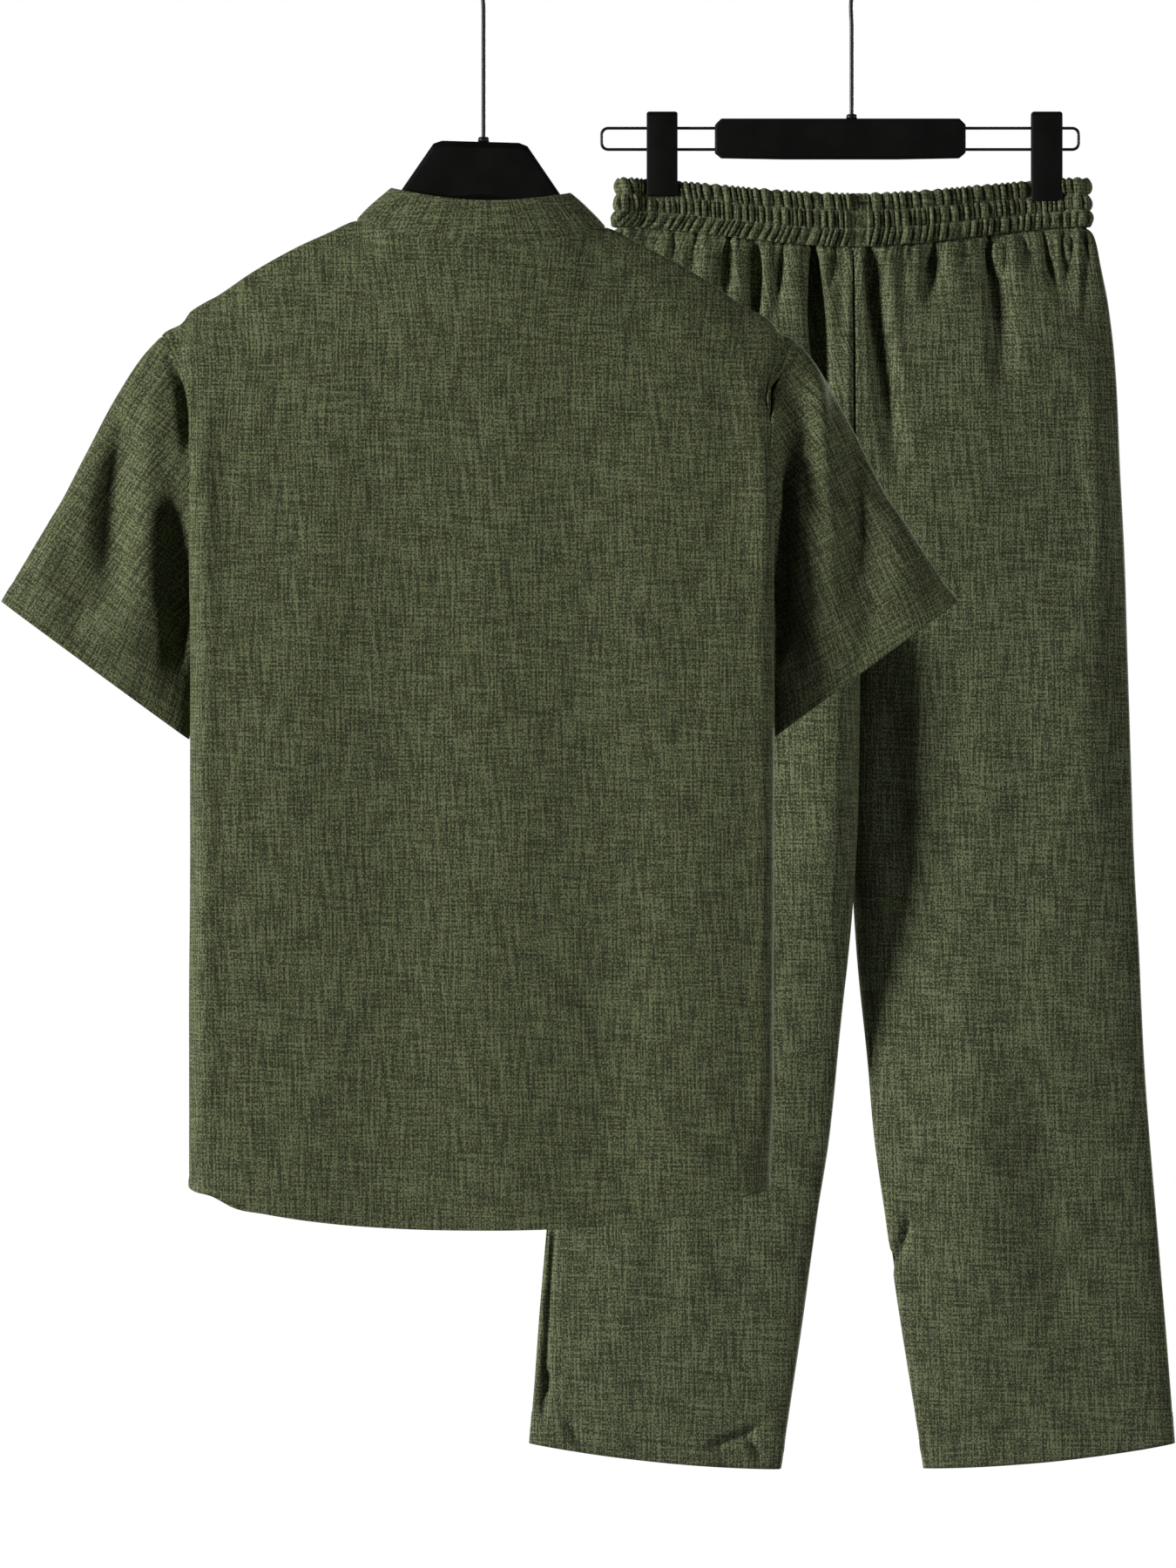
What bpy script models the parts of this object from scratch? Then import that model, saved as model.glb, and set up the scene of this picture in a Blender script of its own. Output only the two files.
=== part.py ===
"""A short-sleeved shirt and gathered trousers, each hanging from its own hanger.

Built in metres with +Z up. The backs of both garments face -Y and +X is to the right of
that view. The origin is the inside top of the shirt's hook, where it bears on a rail. The
cloth hangs still, so every garment piece is one rigid wall with its openings left open.
Sizes below are in millimetres, and MM turns them into metres.
"""

import math

import bpy
import numpy as np

MM = 0.001

# Cloth and seams
WALL = 1.2
SEAM_GAP = 0.3
LAP_STEP = 1.7
NECK_Z = -235.0

# Shirt neck and shoulders
NECK_HALF = 98.0
NECK_BACK_Y = 30.0
NECK_FRONT_Y = 38.0
NECK_BACK_DROP = 17.4
NECK_FRONT_DROP = 60.0
RIDGE_RADIUS = 8.0
CHEST_DEPTH = 50.0
ARMHOLE_DEPTH = 28.0
SLEEVE_FULL = 0.85
SLEEVE_ASKEW = 3.2

# Where the columns of the back and front start round the neck, and how many more there are
BACK_ANGLES = (0.0, 22.5, 45.0, 67.5, 90.0)
FRONT_ANGLES = (188.8, 180.0, 171.0, 163.0, 150.0, 130.0, 110.0, 90.0)
SHOULDER_STEPS = 4
CORNER_STEPS = 3

# How roundly the body turns into its sides, and how its hem sags from side to middle
CORNER_SHARE = 0.66
CORNER_LEAVE = 1.5
CORNER_PASS = 1.1
CORNER_END = 1.7
HEM_SAG_HALF = 224.0
HEM_SAG_SHARE = 0.6
HEM_SAG_POWER = 2.4
HEM_CORNER_SHARE = 0.45
HEM_CORNER_POWER = 1.2

# Collar band
COLLAR_TOP_HALF = 70.5
COLLAR_TOP_BACK_Y = 25.0
COLLAR_TOP_FRONT_Y = 33.0
COLLAR_SIDE_RISE = 26.0
COLLAR_BACK_RISE = 16.6
COLLAR_FRONT_DROP = 30.0

# Buttons
BUTTON_RADIUS = 5.5
BUTTON_THICK = 2.6
BUTTON_SIDES = 12
BUTTON_FIRST_DROP = 118.0
BUTTON_PITCH = 92.0
BUTTON_COUNT = 6

# Hook wires
WIRE_RADIUS = 1.7
WIRE_SIDES = 8
HOOK_INNER_RADIUS = 16.0
HOOK_NECK = ((6.2, -34.5), (1.6, -38.5), (0.0, -46.0))
FERRULE_RADIUS = 4.4
FERRULE_HEIGHT = 3.5
HARD_GAP = 0.1

# Trousers: where they hang, the band and the leg
TROUSERS_X = 291.5
TROUSERS_Y = 100.0
WAIST_Z = -189.7
BAND_HEIGHT = 38.8
BAND_TOP_HALF = 184.3
BAND_SEAM_HALF = 188.0
CLIP_X = 153.1
CLIP_SHIFT = 1.9
GATHERS = 86
GATHER_POINTS = 3
BAND_WALL_PLAIN = 1.1
TROUSER_WALL = 1.3
CROTCH_DROP = 320.0
CROTCH_CURVE = 60.0

# Clip hanger
BAR_SHIFT = -9.4
BAR_HALF = 99.8
BAR_TOP_Z = -142.5
BAR_HEIGHT = 32.0
BAR_DEPTH = 12.0
RAIL_TOP_Z = -149.8
RAIL_LOW_Z = -166.9
RAIL_HALF = 190.0
RAIL_RADIUS = 1.2
RAIL_BEND = 5.0
CLIP_HALF_WIDTH = 12.3
CLIP_TOP_Z = -136.9
CLIP_LOW_Z = -204.5
CLIP_GAP = 3.3
CLIP_PLATE = 3.2


class Table:
    """Rows of named sizes, read between rows by a smooth curve without overshoot."""

    def __init__(self, columns, rows):
        self.names = columns.split()
        self.rows = np.array(rows, dtype=float)

    def column(self, name):
        """The whole column of that name."""
        return self.rows[:, self.names.index(name)]

    def at(self, name, key):
        """The column's value where the first column reaches key."""
        x = self.rows[:, 0]
        y = self.column(name)
        key = min(max(key, x[0]), x[-1])
        i = min(max(int(np.searchsorted(x, key)) - 1, 0), len(x) - 2)
        h = np.diff(x)
        s = np.diff(y) / h
        m0 = self._slope(s, h, i)
        m1 = self._slope(s, h, i + 1)
        t = (key - x[i]) / h[i]
        a = (1 + 2 * t) * (1 - t) ** 2
        b = t * (1 - t) ** 2
        c = t * t * (3 - 2 * t)
        d = t * t * (t - 1)
        return float(a * y[i] + b * h[i] * m0 + c * y[i + 1] + d * h[i] * m1)

    @staticmethod
    def _slope(s, h, i):
        if i == 0:
            return s[0]
        if i == len(s):
            return s[-1]
        if s[i - 1] * s[i] <= 0:
            return 0.0
        w1 = 2 * h[i] + h[i - 1]
        w2 = h[i] + 2 * h[i - 1]
        return (w1 + w2) / (w1 / s[i - 1] + w2 / s[i])


LAP_X = 15.0

# The shirt's body, a row per section from the shoulder seam to the hem. turn is the angle
# round the armhole loop in degrees, edge the armhole or side seam, mid the centre, even the
# share of evenly spread columns, flare the share of the full depth.
BODY = Table(
    "row turn edge_x edge_drop mid_back mid_front fold_x flat_x even flare",
    [
        (0, 0, 249.0, 90.5, 17.4, 60.0, 231.0, 205.0, 0.00, 0.00),
        (1, 8, 248.4, 91.5, 19.5, 61.5, 231.4, 205.0, 0.02, 0.01),
        (2, 20, 246.0, 96.8, 27.0, 66.0, 231.5, 204.0, 0.08, 0.05),
        (3, 36, 237.5, 110.5, 46.0, 77.0, 231.0, 202.0, 0.25, 0.29),
        (4, 54, 226.5, 133.7, 78.0, 98.0, 228.5, 198.0, 0.50, 0.56),
        (5, 72, 220.0, 162.9, 118.0, 128.0, 226.0, 196.0, 0.75, 0.77),
        (6, 90, 217.0, 195.2, 160.0, 163.0, 224.8, 195.0, 0.92, 0.90),
        (7, 108, 214.0, 227.6, 203.0, 203.0, 224.5, 194.0, 1.00, 0.96),
        (8, 126, 212.0, 256.8, 243.0, 243.0, 224.5, 194.0, 1.00, 0.99),
        (9, 144, 211.0, 280.0, 274.0, 274.0, 224.5, 194.0, 1.00, 1.00),
        (10, 162, 210.3, 294.8, 293.0, 293.0, 224.5, 194.0, 1.00, 1.00),
        (11, 180, 210.0, 300.0, 300.0, 300.0, 224.5, 194.0, 1.00, 1.00),
        (12, 180, 210.8, 335.0, 335.0, 335.0, 224.5, 194.0, 1.00, 1.00),
        (13, 180, 213.5, 395.0, 395.0, 395.0, 224.5, 193.0, 1.00, 1.01),
        (14, 180, 218.0, 475.0, 475.0, 475.0, 224.5, 192.0, 1.00, 1.02),
        (15, 180, 221.5, 560.0, 562.0, 562.0, 224.6, 191.0, 1.00, 1.03),
        (16, 180, 223.0, 640.0, 655.0, 655.0, 224.8, 190.0, 1.00, 1.04),
        (17, 180, 223.5, 698.0, 728.0, 728.0, 225.0, 190.0, 1.00, 1.04),
        (18, 180, 223.5, 738.0, 782.0, 782.0, 225.0, 190.0, 1.00, 1.04),
    ],
)
ARMHOLE_LAST = 11

# The shoulder seam from the neck to its outer end
SHOULDER = Table(
    "x drop",
    [(98.0, 0.0), (119.3, 9.8), (164.9, 33.0), (195.5, 52.4), (226.1, 75.3), (249.0, 90.5)],
)

# How far the shirt hangs askew: a sideways shift, and the lean of its right side downward
ASKEW = Table(
    "drop shift lean",
    [(-70, -2.7, 0.028), (0, -2.2, 0.028), (90, -2.2, 0.015), (300, -3.0, 0.0), (800, -3.0, 0.0)],
)

# Soft upright swells of the shirt's body, which fade in below from_drop
SWELLS = Table(
    "x height width from_drop",
    [
        (-150.0, 2.6, 34.0, 240.0),
        (-62.0, -2.0, 30.0, 300.0),
        (20.0, 2.0, 36.0, 340.0),
        (96.0, -2.4, 30.0, 260.0),
        (160.0, 2.6, 32.0, 320.0),
    ],
)
SWELL_FADE = 160.0

# The sleeve, a row per ring from the armhole to the cuff: its top and under lines
SLEEVE = Table(
    "share top_x top_drop low_x low_drop depth own",
    [
        (0.00, 249.0, 90.5, 210.0, 300.0, 28.0, 0.0),
        (0.10, 262.5, 106.0, 216.0, 312.0, 27.0, 0.35),
        (0.26, 283.0, 139.0, 219.8, 330.0, 26.0, 0.75),
        (0.43, 306.0, 183.0, 222.2, 348.0, 25.5, 1.0),
        (0.60, 327.0, 222.5, 223.8, 366.0, 24.5, 1.0),
        (0.78, 349.0, 257.5, 224.8, 383.0, 23.0, 1.0),
        (0.93, 367.0, 285.0, 226.6, 397.0, 21.5, 1.0),
        (1.00, 373.5, 294.5, 227.5, 402.0, 21.0, 1.0),
    ],
)
SLEEVE_TURNS = (0, 8, 20, 36, 54, 72, 90, 108, 126, 144, 162, 180)

# Folds of the sleeve's cloth: where they lie round the ring and along the sleeve
SLEEVE_FOLDS = Table(
    "turn height width from_share to_share",
    [
        (128.0, -7.0, 17.0, 0.02, 0.80),
        (96.0, 3.5, 16.0, 0.00, 0.62),
        (66.0, -3.5, 15.0, 0.10, 1.05),
        (34.0, 2.0, 14.0, 0.10, 1.05),
    ],
)

# The shirt hanger's outline from its middle outward, as drops below the neck point
HANGER = Table(
    "x top low half",
    [
        (0.0, -64.2, -18.0, 7.0),
        (30.0, -64.2, -14.0, 7.0),
        (36.7, -61.8, -12.0, 7.0),
        (43.0, -52.6, -9.0, 6.9),
        (49.6, -42.4, -5.0, 6.7),
        (57.5, -31.0, 0.0, 6.5),
        (66.0, -19.0, 6.0, 6.3),
        (78.0, -7.0, 14.0, 6.0),
        (90.0, 1.2, 22.0, 5.8),
        (104.0, 7.2, 32.0, 5.8),
        (119.3, 13.6, 40.0, 5.8),
        (164.9, 36.8, 64.0, 5.8),
        (195.5, 55.4, 80.0, 5.8),
        (214.0, 70.0, 90.0, 5.4),
        (221.0, 76.5, 87.0, 3.2),
    ],
)

# The waistband's ring: depth of its inner face over the share of its half width
BAND_RING = Table(
    "share depth",
    [
        (0.0, 10.5),
        (0.3, 8.8),
        (0.55, 4.4),
        (0.68, 1.3),
        (0.74, 0.7),
        (0.905, 0.7),
        (0.945, 4.0),
        (0.965, 4.9),
    ],
)
# The waistband's rows from the top edge to the seam: wall and gather height
BAND_ROWS = Table(
    "share wall gather",
    [
        (0.00, 1.75, 0.45),
        (0.17, 2.25, 0.70),
        (0.37, 1.45, 0.25),
        (0.55, 2.30, 0.70),
        (0.69, 1.45, 0.25),
        (0.86, 2.25, 0.70),
        (1.00, 1.55, 0.30),
    ],
)
BAND_TOP_SAG = (13.1, 15.0)
BAND_SEAM_SAG = (16.6, 18.5)
BAND_SAG_HALF = 196.0

# One trouser leg by its drop below the band's top: its outline and the depth of each half
LEG = Table(
    "drop inner outer back front",
    [
        (40.0, 0.0, 188.0, 12.0, 12.0),
        (46.0, 0.0, 192.5, 13.0, 13.0),
        (69.0, 0.0, 198.0, 17.0, 16.0),
        (100.0, 0.0, 204.2, 23.0, 21.0),
        (163.0, 0.0, 210.6, 31.0, 28.0),
        (240.0, 0.0, 213.8, 36.0, 32.0),
        (320.0, 0.3, 217.3, 36.0, 32.0),
        (345.0, 0.3, 218.2, 35.0, 31.0),
        (413.0, -2.2, 220.4, 31.0, 28.0),
        (500.0, -2.2, 223.0, 27.0, 25.0),
        (560.0, 0.3, 225.4, 25.0, 23.0),
        (621.0, 4.3, 228.7, 22.0, 21.0),
        (690.0, 11.1, 231.8, 20.0, 19.0),
        (760.0, 17.6, 236.6, 18.0, 17.0),
        (829.0, 28.0, 242.4, 16.5, 16.0),
        (898.0, 38.0, 248.3, 15.0, 15.0),
        (967.0, 48.0, 253.6, 14.0, 14.0),
        (1030.0, 57.5, 258.4, 13.0, 13.0),
    ],
)
FOLD_ROWS = (0.0, 6.0, 16.0, 32.0, 58.0, 95.0)
LEG_ROWS = (140.0, 195.0, 245.0, 275.0, 295.0, 309.0, 317.0, 320.0, 350.0, 400.0, 480.0, 550.0)
LOW_ROWS = (610.0, 690.0, 790.0, 880.0, 955.0, 990.0)
LEG_ACROSS = (0.0, 0.025, 0.10, 0.26, 0.5, 0.74, 0.90, 0.975, 1.0)
HEM_OUTER_DROP = 1007.0
HEM_INNER_DROP = 1027.0
HEM_BOW = 4.0
LEG_CROSS = 9.0
LEG_CROSS_DROPS = (325.0, 395.0, 600.0, 760.0)
# How square each edge of a leg is: 2 is round, more is squarer
OUTER_ROUND = 2.7
LEFT_INNER_ROUND = 6.0
RIGHT_INNER_ROUND = 2.1

# Gathers opening into the cloth below the band, from the centre seam outward. A low one
# is a trough, and length is how far down it lasts.
FOLDS = {
    "back_right": Table(
        "x height drift length",
        [
            (0.0, 0.5, 0.00, 120.0),
            (7.0, 1.6, 0.05, 90.0),
            (16.0, -6.0, 0.13, 230.0),
            (27.0, 2.4, 0.12, 150.0),
            (39.0, -1.8, 0.04, 50.0),
            (51.0, 1.8, 0.04, 60.0),
            (65.0, -4.0, 0.03, 75.0),
            (80.0, 1.8, 0.04, 90.0),
            (97.0, -1.8, 0.05, 60.0),
            (112.0, -4.2, 0.09, 190.0),
            (129.0, 2.0, 0.06, 110.0),
            (143.0, -1.6, 0.04, 45.0),
            (156.0, -3.8, 0.04, 60.0),
            (165.0, 1.2, 0.03, 60.0),
            (173.0, -3.0, 0.03, 90.0),
            (181.0, 0.8, 0.03, 60.0),
            (188.0, 0.0, 0.0, 60.0),
        ],
    ),
    "back_left": Table(
        "x height drift length",
        [
            (0.0, 0.8, 0.00, 120.0),
            (8.0, -3.0, 0.02, 90.0),
            (20.0, 1.6, -0.04, 90.0),
            (33.0, -6.0, -0.10, 165.0),
            (46.0, 2.2, -0.04, 110.0),
            (60.0, -1.8, 0.00, 45.0),
            (70.0, 1.6, 0.00, 60.0),
            (80.0, -4.2, 0.02, 95.0),
            (92.0, 1.8, 0.02, 70.0),
            (102.0, -4.0, 0.03, 85.0),
            (118.0, 2.0, 0.05, 120.0),
            (134.0, -2.2, 0.05, 60.0),
            (148.0, 1.4, 0.05, 70.0),
            (159.0, -2.6, 0.05, 80.0),
            (170.0, 1.2, 0.04, 60.0),
            (180.0, -2.0, 0.03, 60.0),
            (188.0, 0.0, 0.0, 60.0),
        ],
    ),
    "front_right": Table(
        "x height drift length",
        [
            (0.0, 0.6, 0.00, 120.0),
            (12.0, -3.4, 0.03, 85.0),
            (25.0, 1.8, 0.05, 80.0),
            (37.0, -2.0, 0.04, 50.0),
            (50.0, 1.6, 0.04, 70.0),
            (62.0, -4.6, 0.05, 140.0),
            (76.0, 2.0, 0.05, 90.0),
            (90.0, -2.0, 0.05, 60.0),
            (103.0, 1.6, 0.05, 70.0),
            (118.0, -4.0, 0.06, 110.0),
            (132.0, 1.8, 0.06, 80.0),
            (145.0, -1.8, 0.05, 50.0),
            (156.0, 1.2, 0.04, 60.0),
            (167.0, -3.0, 0.03, 80.0),
            (176.0, 1.0, 0.03, 60.0),
            (183.0, -1.4, 0.02, 50.0),
            (188.0, 0.0, 0.0, 60.0),
        ],
    ),
    "front_left": Table(
        "x height drift length",
        [
            (0.0, 0.6, 0.00, 120.0),
            (10.0, -2.6, 0.02, 70.0),
            (22.0, 1.8, 0.02, 80.0),
            (36.0, -4.6, 0.06, 150.0),
            (49.0, 2.0, 0.05, 90.0),
            (61.0, -1.8, 0.04, 50.0),
            (74.0, 1.6, 0.04, 60.0),
            (88.0, -3.6, 0.04, 90.0),
            (102.0, 1.8, 0.05, 80.0),
            (116.0, -2.0, 0.05, 50.0),
            (129.0, 1.6, 0.05, 70.0),
            (143.0, -3.8, 0.05, 100.0),
            (155.0, 1.4, 0.04, 60.0),
            (165.0, -2.0, 0.03, 60.0),
            (174.0, 1.0, 0.03, 60.0),
            (182.0, -1.8, 0.02, 60.0),
            (188.0, 0.0, 0.0, 60.0),
        ],
    ),
}


def clear_scene():
    """Remove every object that the scene holds."""
    for item in list(bpy.data.objects):
        bpy.data.objects.remove(item, do_unlink=True)


def material(name, colour, roughness, metallic=0.0):
    """A plain Principled material.

    Args:
        name: the material's name.
        colour: its base colour, linear RGB.
        roughness: its roughness.
        metallic: its metallic value.

    Returns:
        The material.
    """
    made = bpy.data.materials.new(name)
    made.use_nodes = True
    shader = made.node_tree.nodes["Principled BSDF"]
    shader.inputs["Base Color"].default_value = (*colour, 1.0)
    shader.inputs["Roughness"].default_value = roughness
    shader.inputs["Metallic"].default_value = metallic
    return made


def add_piece(name, points, faces, finish, smooth=True):
    """Make one closed solid of the scene from points in millimetres.

    Args:
        name: the piece's name.
        points: rows of x, y, z in millimetres.
        faces: tuples of point numbers, wound outward.
        finish: its material.
        smooth: whether its faces are shaded smooth.

    Returns:
        The object.
    """
    mesh = bpy.data.meshes.new(name)
    scaled = [tuple(float(v) * MM for v in point) for point in points]
    mesh.from_pydata(scaled, [], [tuple(int(i) for i in face) for face in faces])
    mesh.update()
    mesh.materials.append(finish)
    for polygon in mesh.polygons:
        polygon.use_smooth = smooth
    made = bpy.data.objects.new(name, mesh)
    bpy.context.scene.collection.objects.link(made)
    return made


def unit(vectors):
    """Vectors of length one."""
    length = np.linalg.norm(vectors, axis=-1, keepdims=True)
    return vectors / np.maximum(length, 1e-12)


def smooth_step(value):
    """Zero below 0, one above 1, and a soft ramp between."""
    value = min(max(value, 0.0), 1.0)
    return value * value * (3.0 - 2.0 * value)


def grid_normals(grid, closed):
    """Outward normals of a grid of points, rows downward and columns to the right.

    Args:
        grid: an array of rows by columns by 3.
        closed: whether the last column meets the first.

    Returns:
        An array of the same shape.
    """
    if closed:
        across = np.roll(grid, -1, axis=1) - np.roll(grid, 1, axis=1)
    else:
        across = np.gradient(grid, axis=1)
    down = np.gradient(grid, axis=0)
    return unit(np.cross(down, across))


class Sheet:
    """A cloth panel: a grid of its outer face, thickened inward into a closed wall."""

    def __init__(self, name, grid, closed=False, wall=WALL):
        self.name = name
        self.grid = np.array(grid, dtype=float)
        self.closed = closed
        self.wall = wall
        self.normals = grid_normals(self.grid, closed)
        self.inset = np.zeros(self.grid.shape[:2])

    def trim(self, top=0.0, bottom=0.0, left=0.0, right=0.0):
        """Draw the edges back within the sheet by so many millimetres."""
        grid = self.grid
        near = grid.copy()
        if top:
            near[0] += unit(grid[1] - grid[0]) * top
        if bottom:
            near[-1] += unit(grid[-2] - grid[-1]) * bottom
        if left:
            near[:, 0] += unit(grid[:, 1] - grid[:, 0]) * left
        if right:
            near[:, -1] += unit(grid[:, -2] - grid[:, -1]) * right
        self.grid = near

    def build(self, finish):
        """Add the wall to the scene as one closed piece."""
        rows, columns = self.grid.shape[:2]
        outer = self.grid - self.normals * self.inset[..., None]
        inner = outer - self.normals * self.wall
        points = np.concatenate([outer.reshape(-1, 3), inner.reshape(-1, 3)])
        shift = rows * columns
        faces = []
        span = columns if self.closed else columns - 1
        for r in range(rows - 1):
            for c in range(span):
                d = (c + 1) % columns
                a, b = r * columns + c, r * columns + d
                e, f = a + columns, b + columns
                faces.append((a, e, f, b))
                faces.append((a + shift, b + shift, f + shift, e + shift))
        for c in range(span):
            d = (c + 1) % columns
            faces.append((c, d, d + shift, c + shift))
            a, b = (rows - 1) * columns + c, (rows - 1) * columns + d
            faces.append((a, a + shift, b + shift, b))
        if not self.closed:
            for r in range(rows - 1):
                a, b = r * columns, (r + 1) * columns
                faces.append((a, a + shift, b + shift, b))
                a, b = a + columns - 1, b + columns - 1
                faces.append((a, b, b + shift, a + shift))
        return add_piece(self.name, points, faces, finish)


def share_normals(sheets, most_degrees=58.0):
    """Give sheets that meet smoothly along a seam one common normal there.

    Args:
        sheets: sheets whose edge points coincide along their seams.
        most_degrees: the sharpest meeting that counts as smooth.
    """
    least = math.cos(math.radians(most_degrees))
    met = {}
    for s, sheet in enumerate(sheets):
        rows, columns = sheet.grid.shape[:2]
        for r in range(rows):
            for c in range(columns):
                edge = r in (0, rows - 1) or c in (0, columns - 1)
                if edge:
                    key = tuple(np.round(sheet.grid[r, c] * 20.0).astype(int))
                    met.setdefault(key, []).append((s, r, c))
    before = [sheet.normals.copy() for sheet in sheets]
    for places in met.values():
        if len(places) < 2:
            continue
        for s, r, c in places:
            own = before[s][r, c]
            total = np.zeros(3)
            for s2, r2, c2 in places:
                other = before[s2][r2, c2]
                if float(np.dot(own, other)) > least:
                    total = total + other
            sheets[s].normals[r, c] = total / max(np.linalg.norm(total), 1e-9)


def neck_point(angle):
    """A point of the neckline: angle 0 is the back's middle, 90 the right side."""
    turn = math.radians(angle)
    c = math.cos(turn)
    back = c > 0
    y = -(NECK_BACK_Y if back else NECK_FRONT_Y) * c
    drop = (NECK_BACK_DROP if back else NECK_FRONT_DROP) * c * c
    return np.array([NECK_HALF * math.sin(turn), y, drop])


def collar_top(angle):
    """The matching point of the collar band's upper edge."""
    turn = math.radians(angle)
    c = math.cos(turn)
    back = c > 0
    y = -(COLLAR_TOP_BACK_Y if back else COLLAR_TOP_FRONT_Y) * c
    middle = -COLLAR_BACK_RISE if back else COLLAR_FRONT_DROP
    drop = -COLLAR_SIDE_RISE + (middle + COLLAR_SIDE_RISE) * c * c
    return np.array([COLLAR_TOP_HALF * math.sin(turn), y, drop])


def ridge_depth(drop):
    """Half the width of the rounded shoulder ridge, so far below its top."""
    inside = min(max(drop, 0.0), RIDGE_RADIUS)
    return math.sqrt(max(RIDGE_RADIUS**2 - (RIDGE_RADIUS - inside) ** 2, 0.0))


def swell(x, drop):
    """The soft upright swells of the body, outward from it."""
    total = 0.0
    for at, height, width, start in SWELLS.rows:
        fade = smooth_step((drop - start) / SWELL_FADE)
        total += height * fade * math.exp(-(((x - at) / width) ** 2))
    return total


def top_columns(front):
    """The top edge's points from the middle outward to the sleeve: x, depth, drop."""
    angles = FRONT_ANGLES if front else BACK_ANGLES
    points = []
    for angle in angles:
        x, y, drop = neck_point(angle)
        points.append((x, abs(y), drop))
    flat = BODY.at("flat_x", 0)
    fold = BODY.at("fold_x", 0)
    tip = BODY.at("edge_x", 0)
    for i in range(1, SHOULDER_STEPS + 1):
        x = NECK_HALF + (flat - NECK_HALF) * i / SHOULDER_STEPS
        points.append((x, 0.0, SHOULDER.at("drop", x)))
    for low, high in ((flat, fold), (fold, tip)):
        for i in range(1, CORNER_STEPS + 1):
            x = low + (high - low) * i / CORNER_STEPS
            points.append((x, 0.0, SHOULDER.at("drop", x)))
    return points


def hermite(p0, p1, m0, m1, t):
    """A cubic between two points with given end directions."""
    a = (1 + 2 * t) * (1 - t) ** 2
    b = t * (1 - t) ** 2
    c = t * t * (3 - 2 * t)
    d = t * t * (t - 1)
    return a * p0 + b * m0 + c * p1 + d * m1


def body_grid(side, front):
    """The outer face of half the back or front, from the middle to the side.

    Args:
        side: -1 for the left half, 1 for the right.
        front: whether it is the front.

    Returns:
        A grid of x, y and drop, rows downward, columns outward.
    """
    top = top_columns(front)
    flat_count = len(top) - 2 * CORNER_STEPS
    lap_count = 4 if front else 1
    mid_name = "mid_front" if front else "mid_back"
    tip_drop = BODY.at("edge_drop", 0)
    mid_drop = BODY.at(mid_name, 0)
    rows = []
    for row in BODY.column("row"):
        edge_x = BODY.at("edge_x", row)
        edge_drop = BODY.at("edge_drop", row)
        mid = BODY.at(mid_name, row)
        flat_x = BODY.at("flat_x", row)
        even = BODY.at("even", row)
        flare = BODY.at("flare", row)
        turn = math.radians(BODY.at("turn", row))
        edge_y = ARMHOLE_DEPTH * max(math.sin(turn), 0.0) ** SLEEVE_FULL
        line = []
        corner_start = None
        for k, (x0, y0, drop0) in enumerate(top):
            shape = (tip_drop - drop0) / (tip_drop - mid_drop)
            low = row > ARMHOLE_LAST
            if k < flat_count:
                fixed = x0 if k < lap_count else None
                if fixed is None:
                    start = top[lap_count - 1][0]
                    step = (k - lap_count + 1) / (flat_count - lap_count)
                    x_even = start + (flat_x - start) * step
                    x_top = x0 * flat_x / top[flat_count - 1][0]
                    x = (1 - even) * x_top + even * x_even
                else:
                    x = fixed
                if low:
                    shape = 1.0 - HEM_SAG_SHARE * (abs(x) / HEM_SAG_HALF) ** HEM_SAG_POWER
                drop = edge_drop + (mid - edge_drop) * shape
                own = max(y0, ridge_depth(drop - drop0))
                y = own + (CHEST_DEPTH - own) * min(flare, 1.0)
                y += CHEST_DEPTH * max(flare - 1.0, 0.0)
                y += swell(side * x * (-1 if front else 1), drop) * (1 if row > 3 else 0)
                corner_start = np.array([x, y])
                line.append((x, y, drop))
                continue
            fold_x = BODY.at("fold_x", row)
            a = corner_start
            b = np.array([fold_x, edge_y + (a[1] - edge_y) * CORNER_SHARE])
            e = np.array([edge_x, edge_y])
            reach = (fold_x - a[0]) * CORNER_LEAVE
            i = k - flat_count + 1
            if i <= CORNER_STEPS:
                t = i / CORNER_STEPS
                m0 = np.array([reach, 0.0])
                m1 = np.array([0.0, (b[1] - a[1]) * CORNER_LEAVE])
                x, y = hermite(a, b, m0, m1, t)
            else:
                t = (i - CORNER_STEPS) / CORNER_STEPS
                m0 = np.array([0.0, (e[1] - b[1]) * CORNER_PASS])
                m1 = np.array([0.0, (e[1] - b[1]) * CORNER_END])
                x, y = hermite(b, e, m0, m1, t)
            if low:
                shape = HEM_CORNER_SHARE * (1.0 - (i / (2.0 * CORNER_STEPS)) ** HEM_CORNER_POWER)
            drop = edge_drop + (mid - edge_drop) * shape
            line.append((x, y, drop))
        rows.append(line)
    grid = np.array(rows)
    grid[:, :, 0] *= side
    if not front:
        grid[:, :, 1] *= -1.0
    return grid


def settle(grid):
    """Turn x, y and drop into x, y and z of the hanging shirt, a little askew."""
    out = np.array(grid, dtype=float)
    flat = out.reshape(-1, 3)
    for point in flat:
        drop = point[2]
        point[0] += ASKEW.at("shift", drop)
        point[2] = NECK_Z - drop - ASKEW.at("lean", drop) * point[0]
    return flat.reshape(out.shape)


def armhole_point(side, turn, front):
    """A point of the armhole loop: turn 0 at the shoulder, 180 under the arm."""
    rows = BODY.rows[: ARMHOLE_LAST + 1]
    turns = rows[:, BODY.names.index("turn")]
    at = int(np.argmin(np.abs(turns - turn)))
    y = ARMHOLE_DEPTH * max(math.sin(math.radians(turn)), 0.0) ** SLEEVE_FULL
    edge_x = rows[at][BODY.names.index("edge_x")]
    edge_drop = rows[at][BODY.names.index("edge_drop")]
    return np.array([side * edge_x, y if front else -y, edge_drop])


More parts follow.
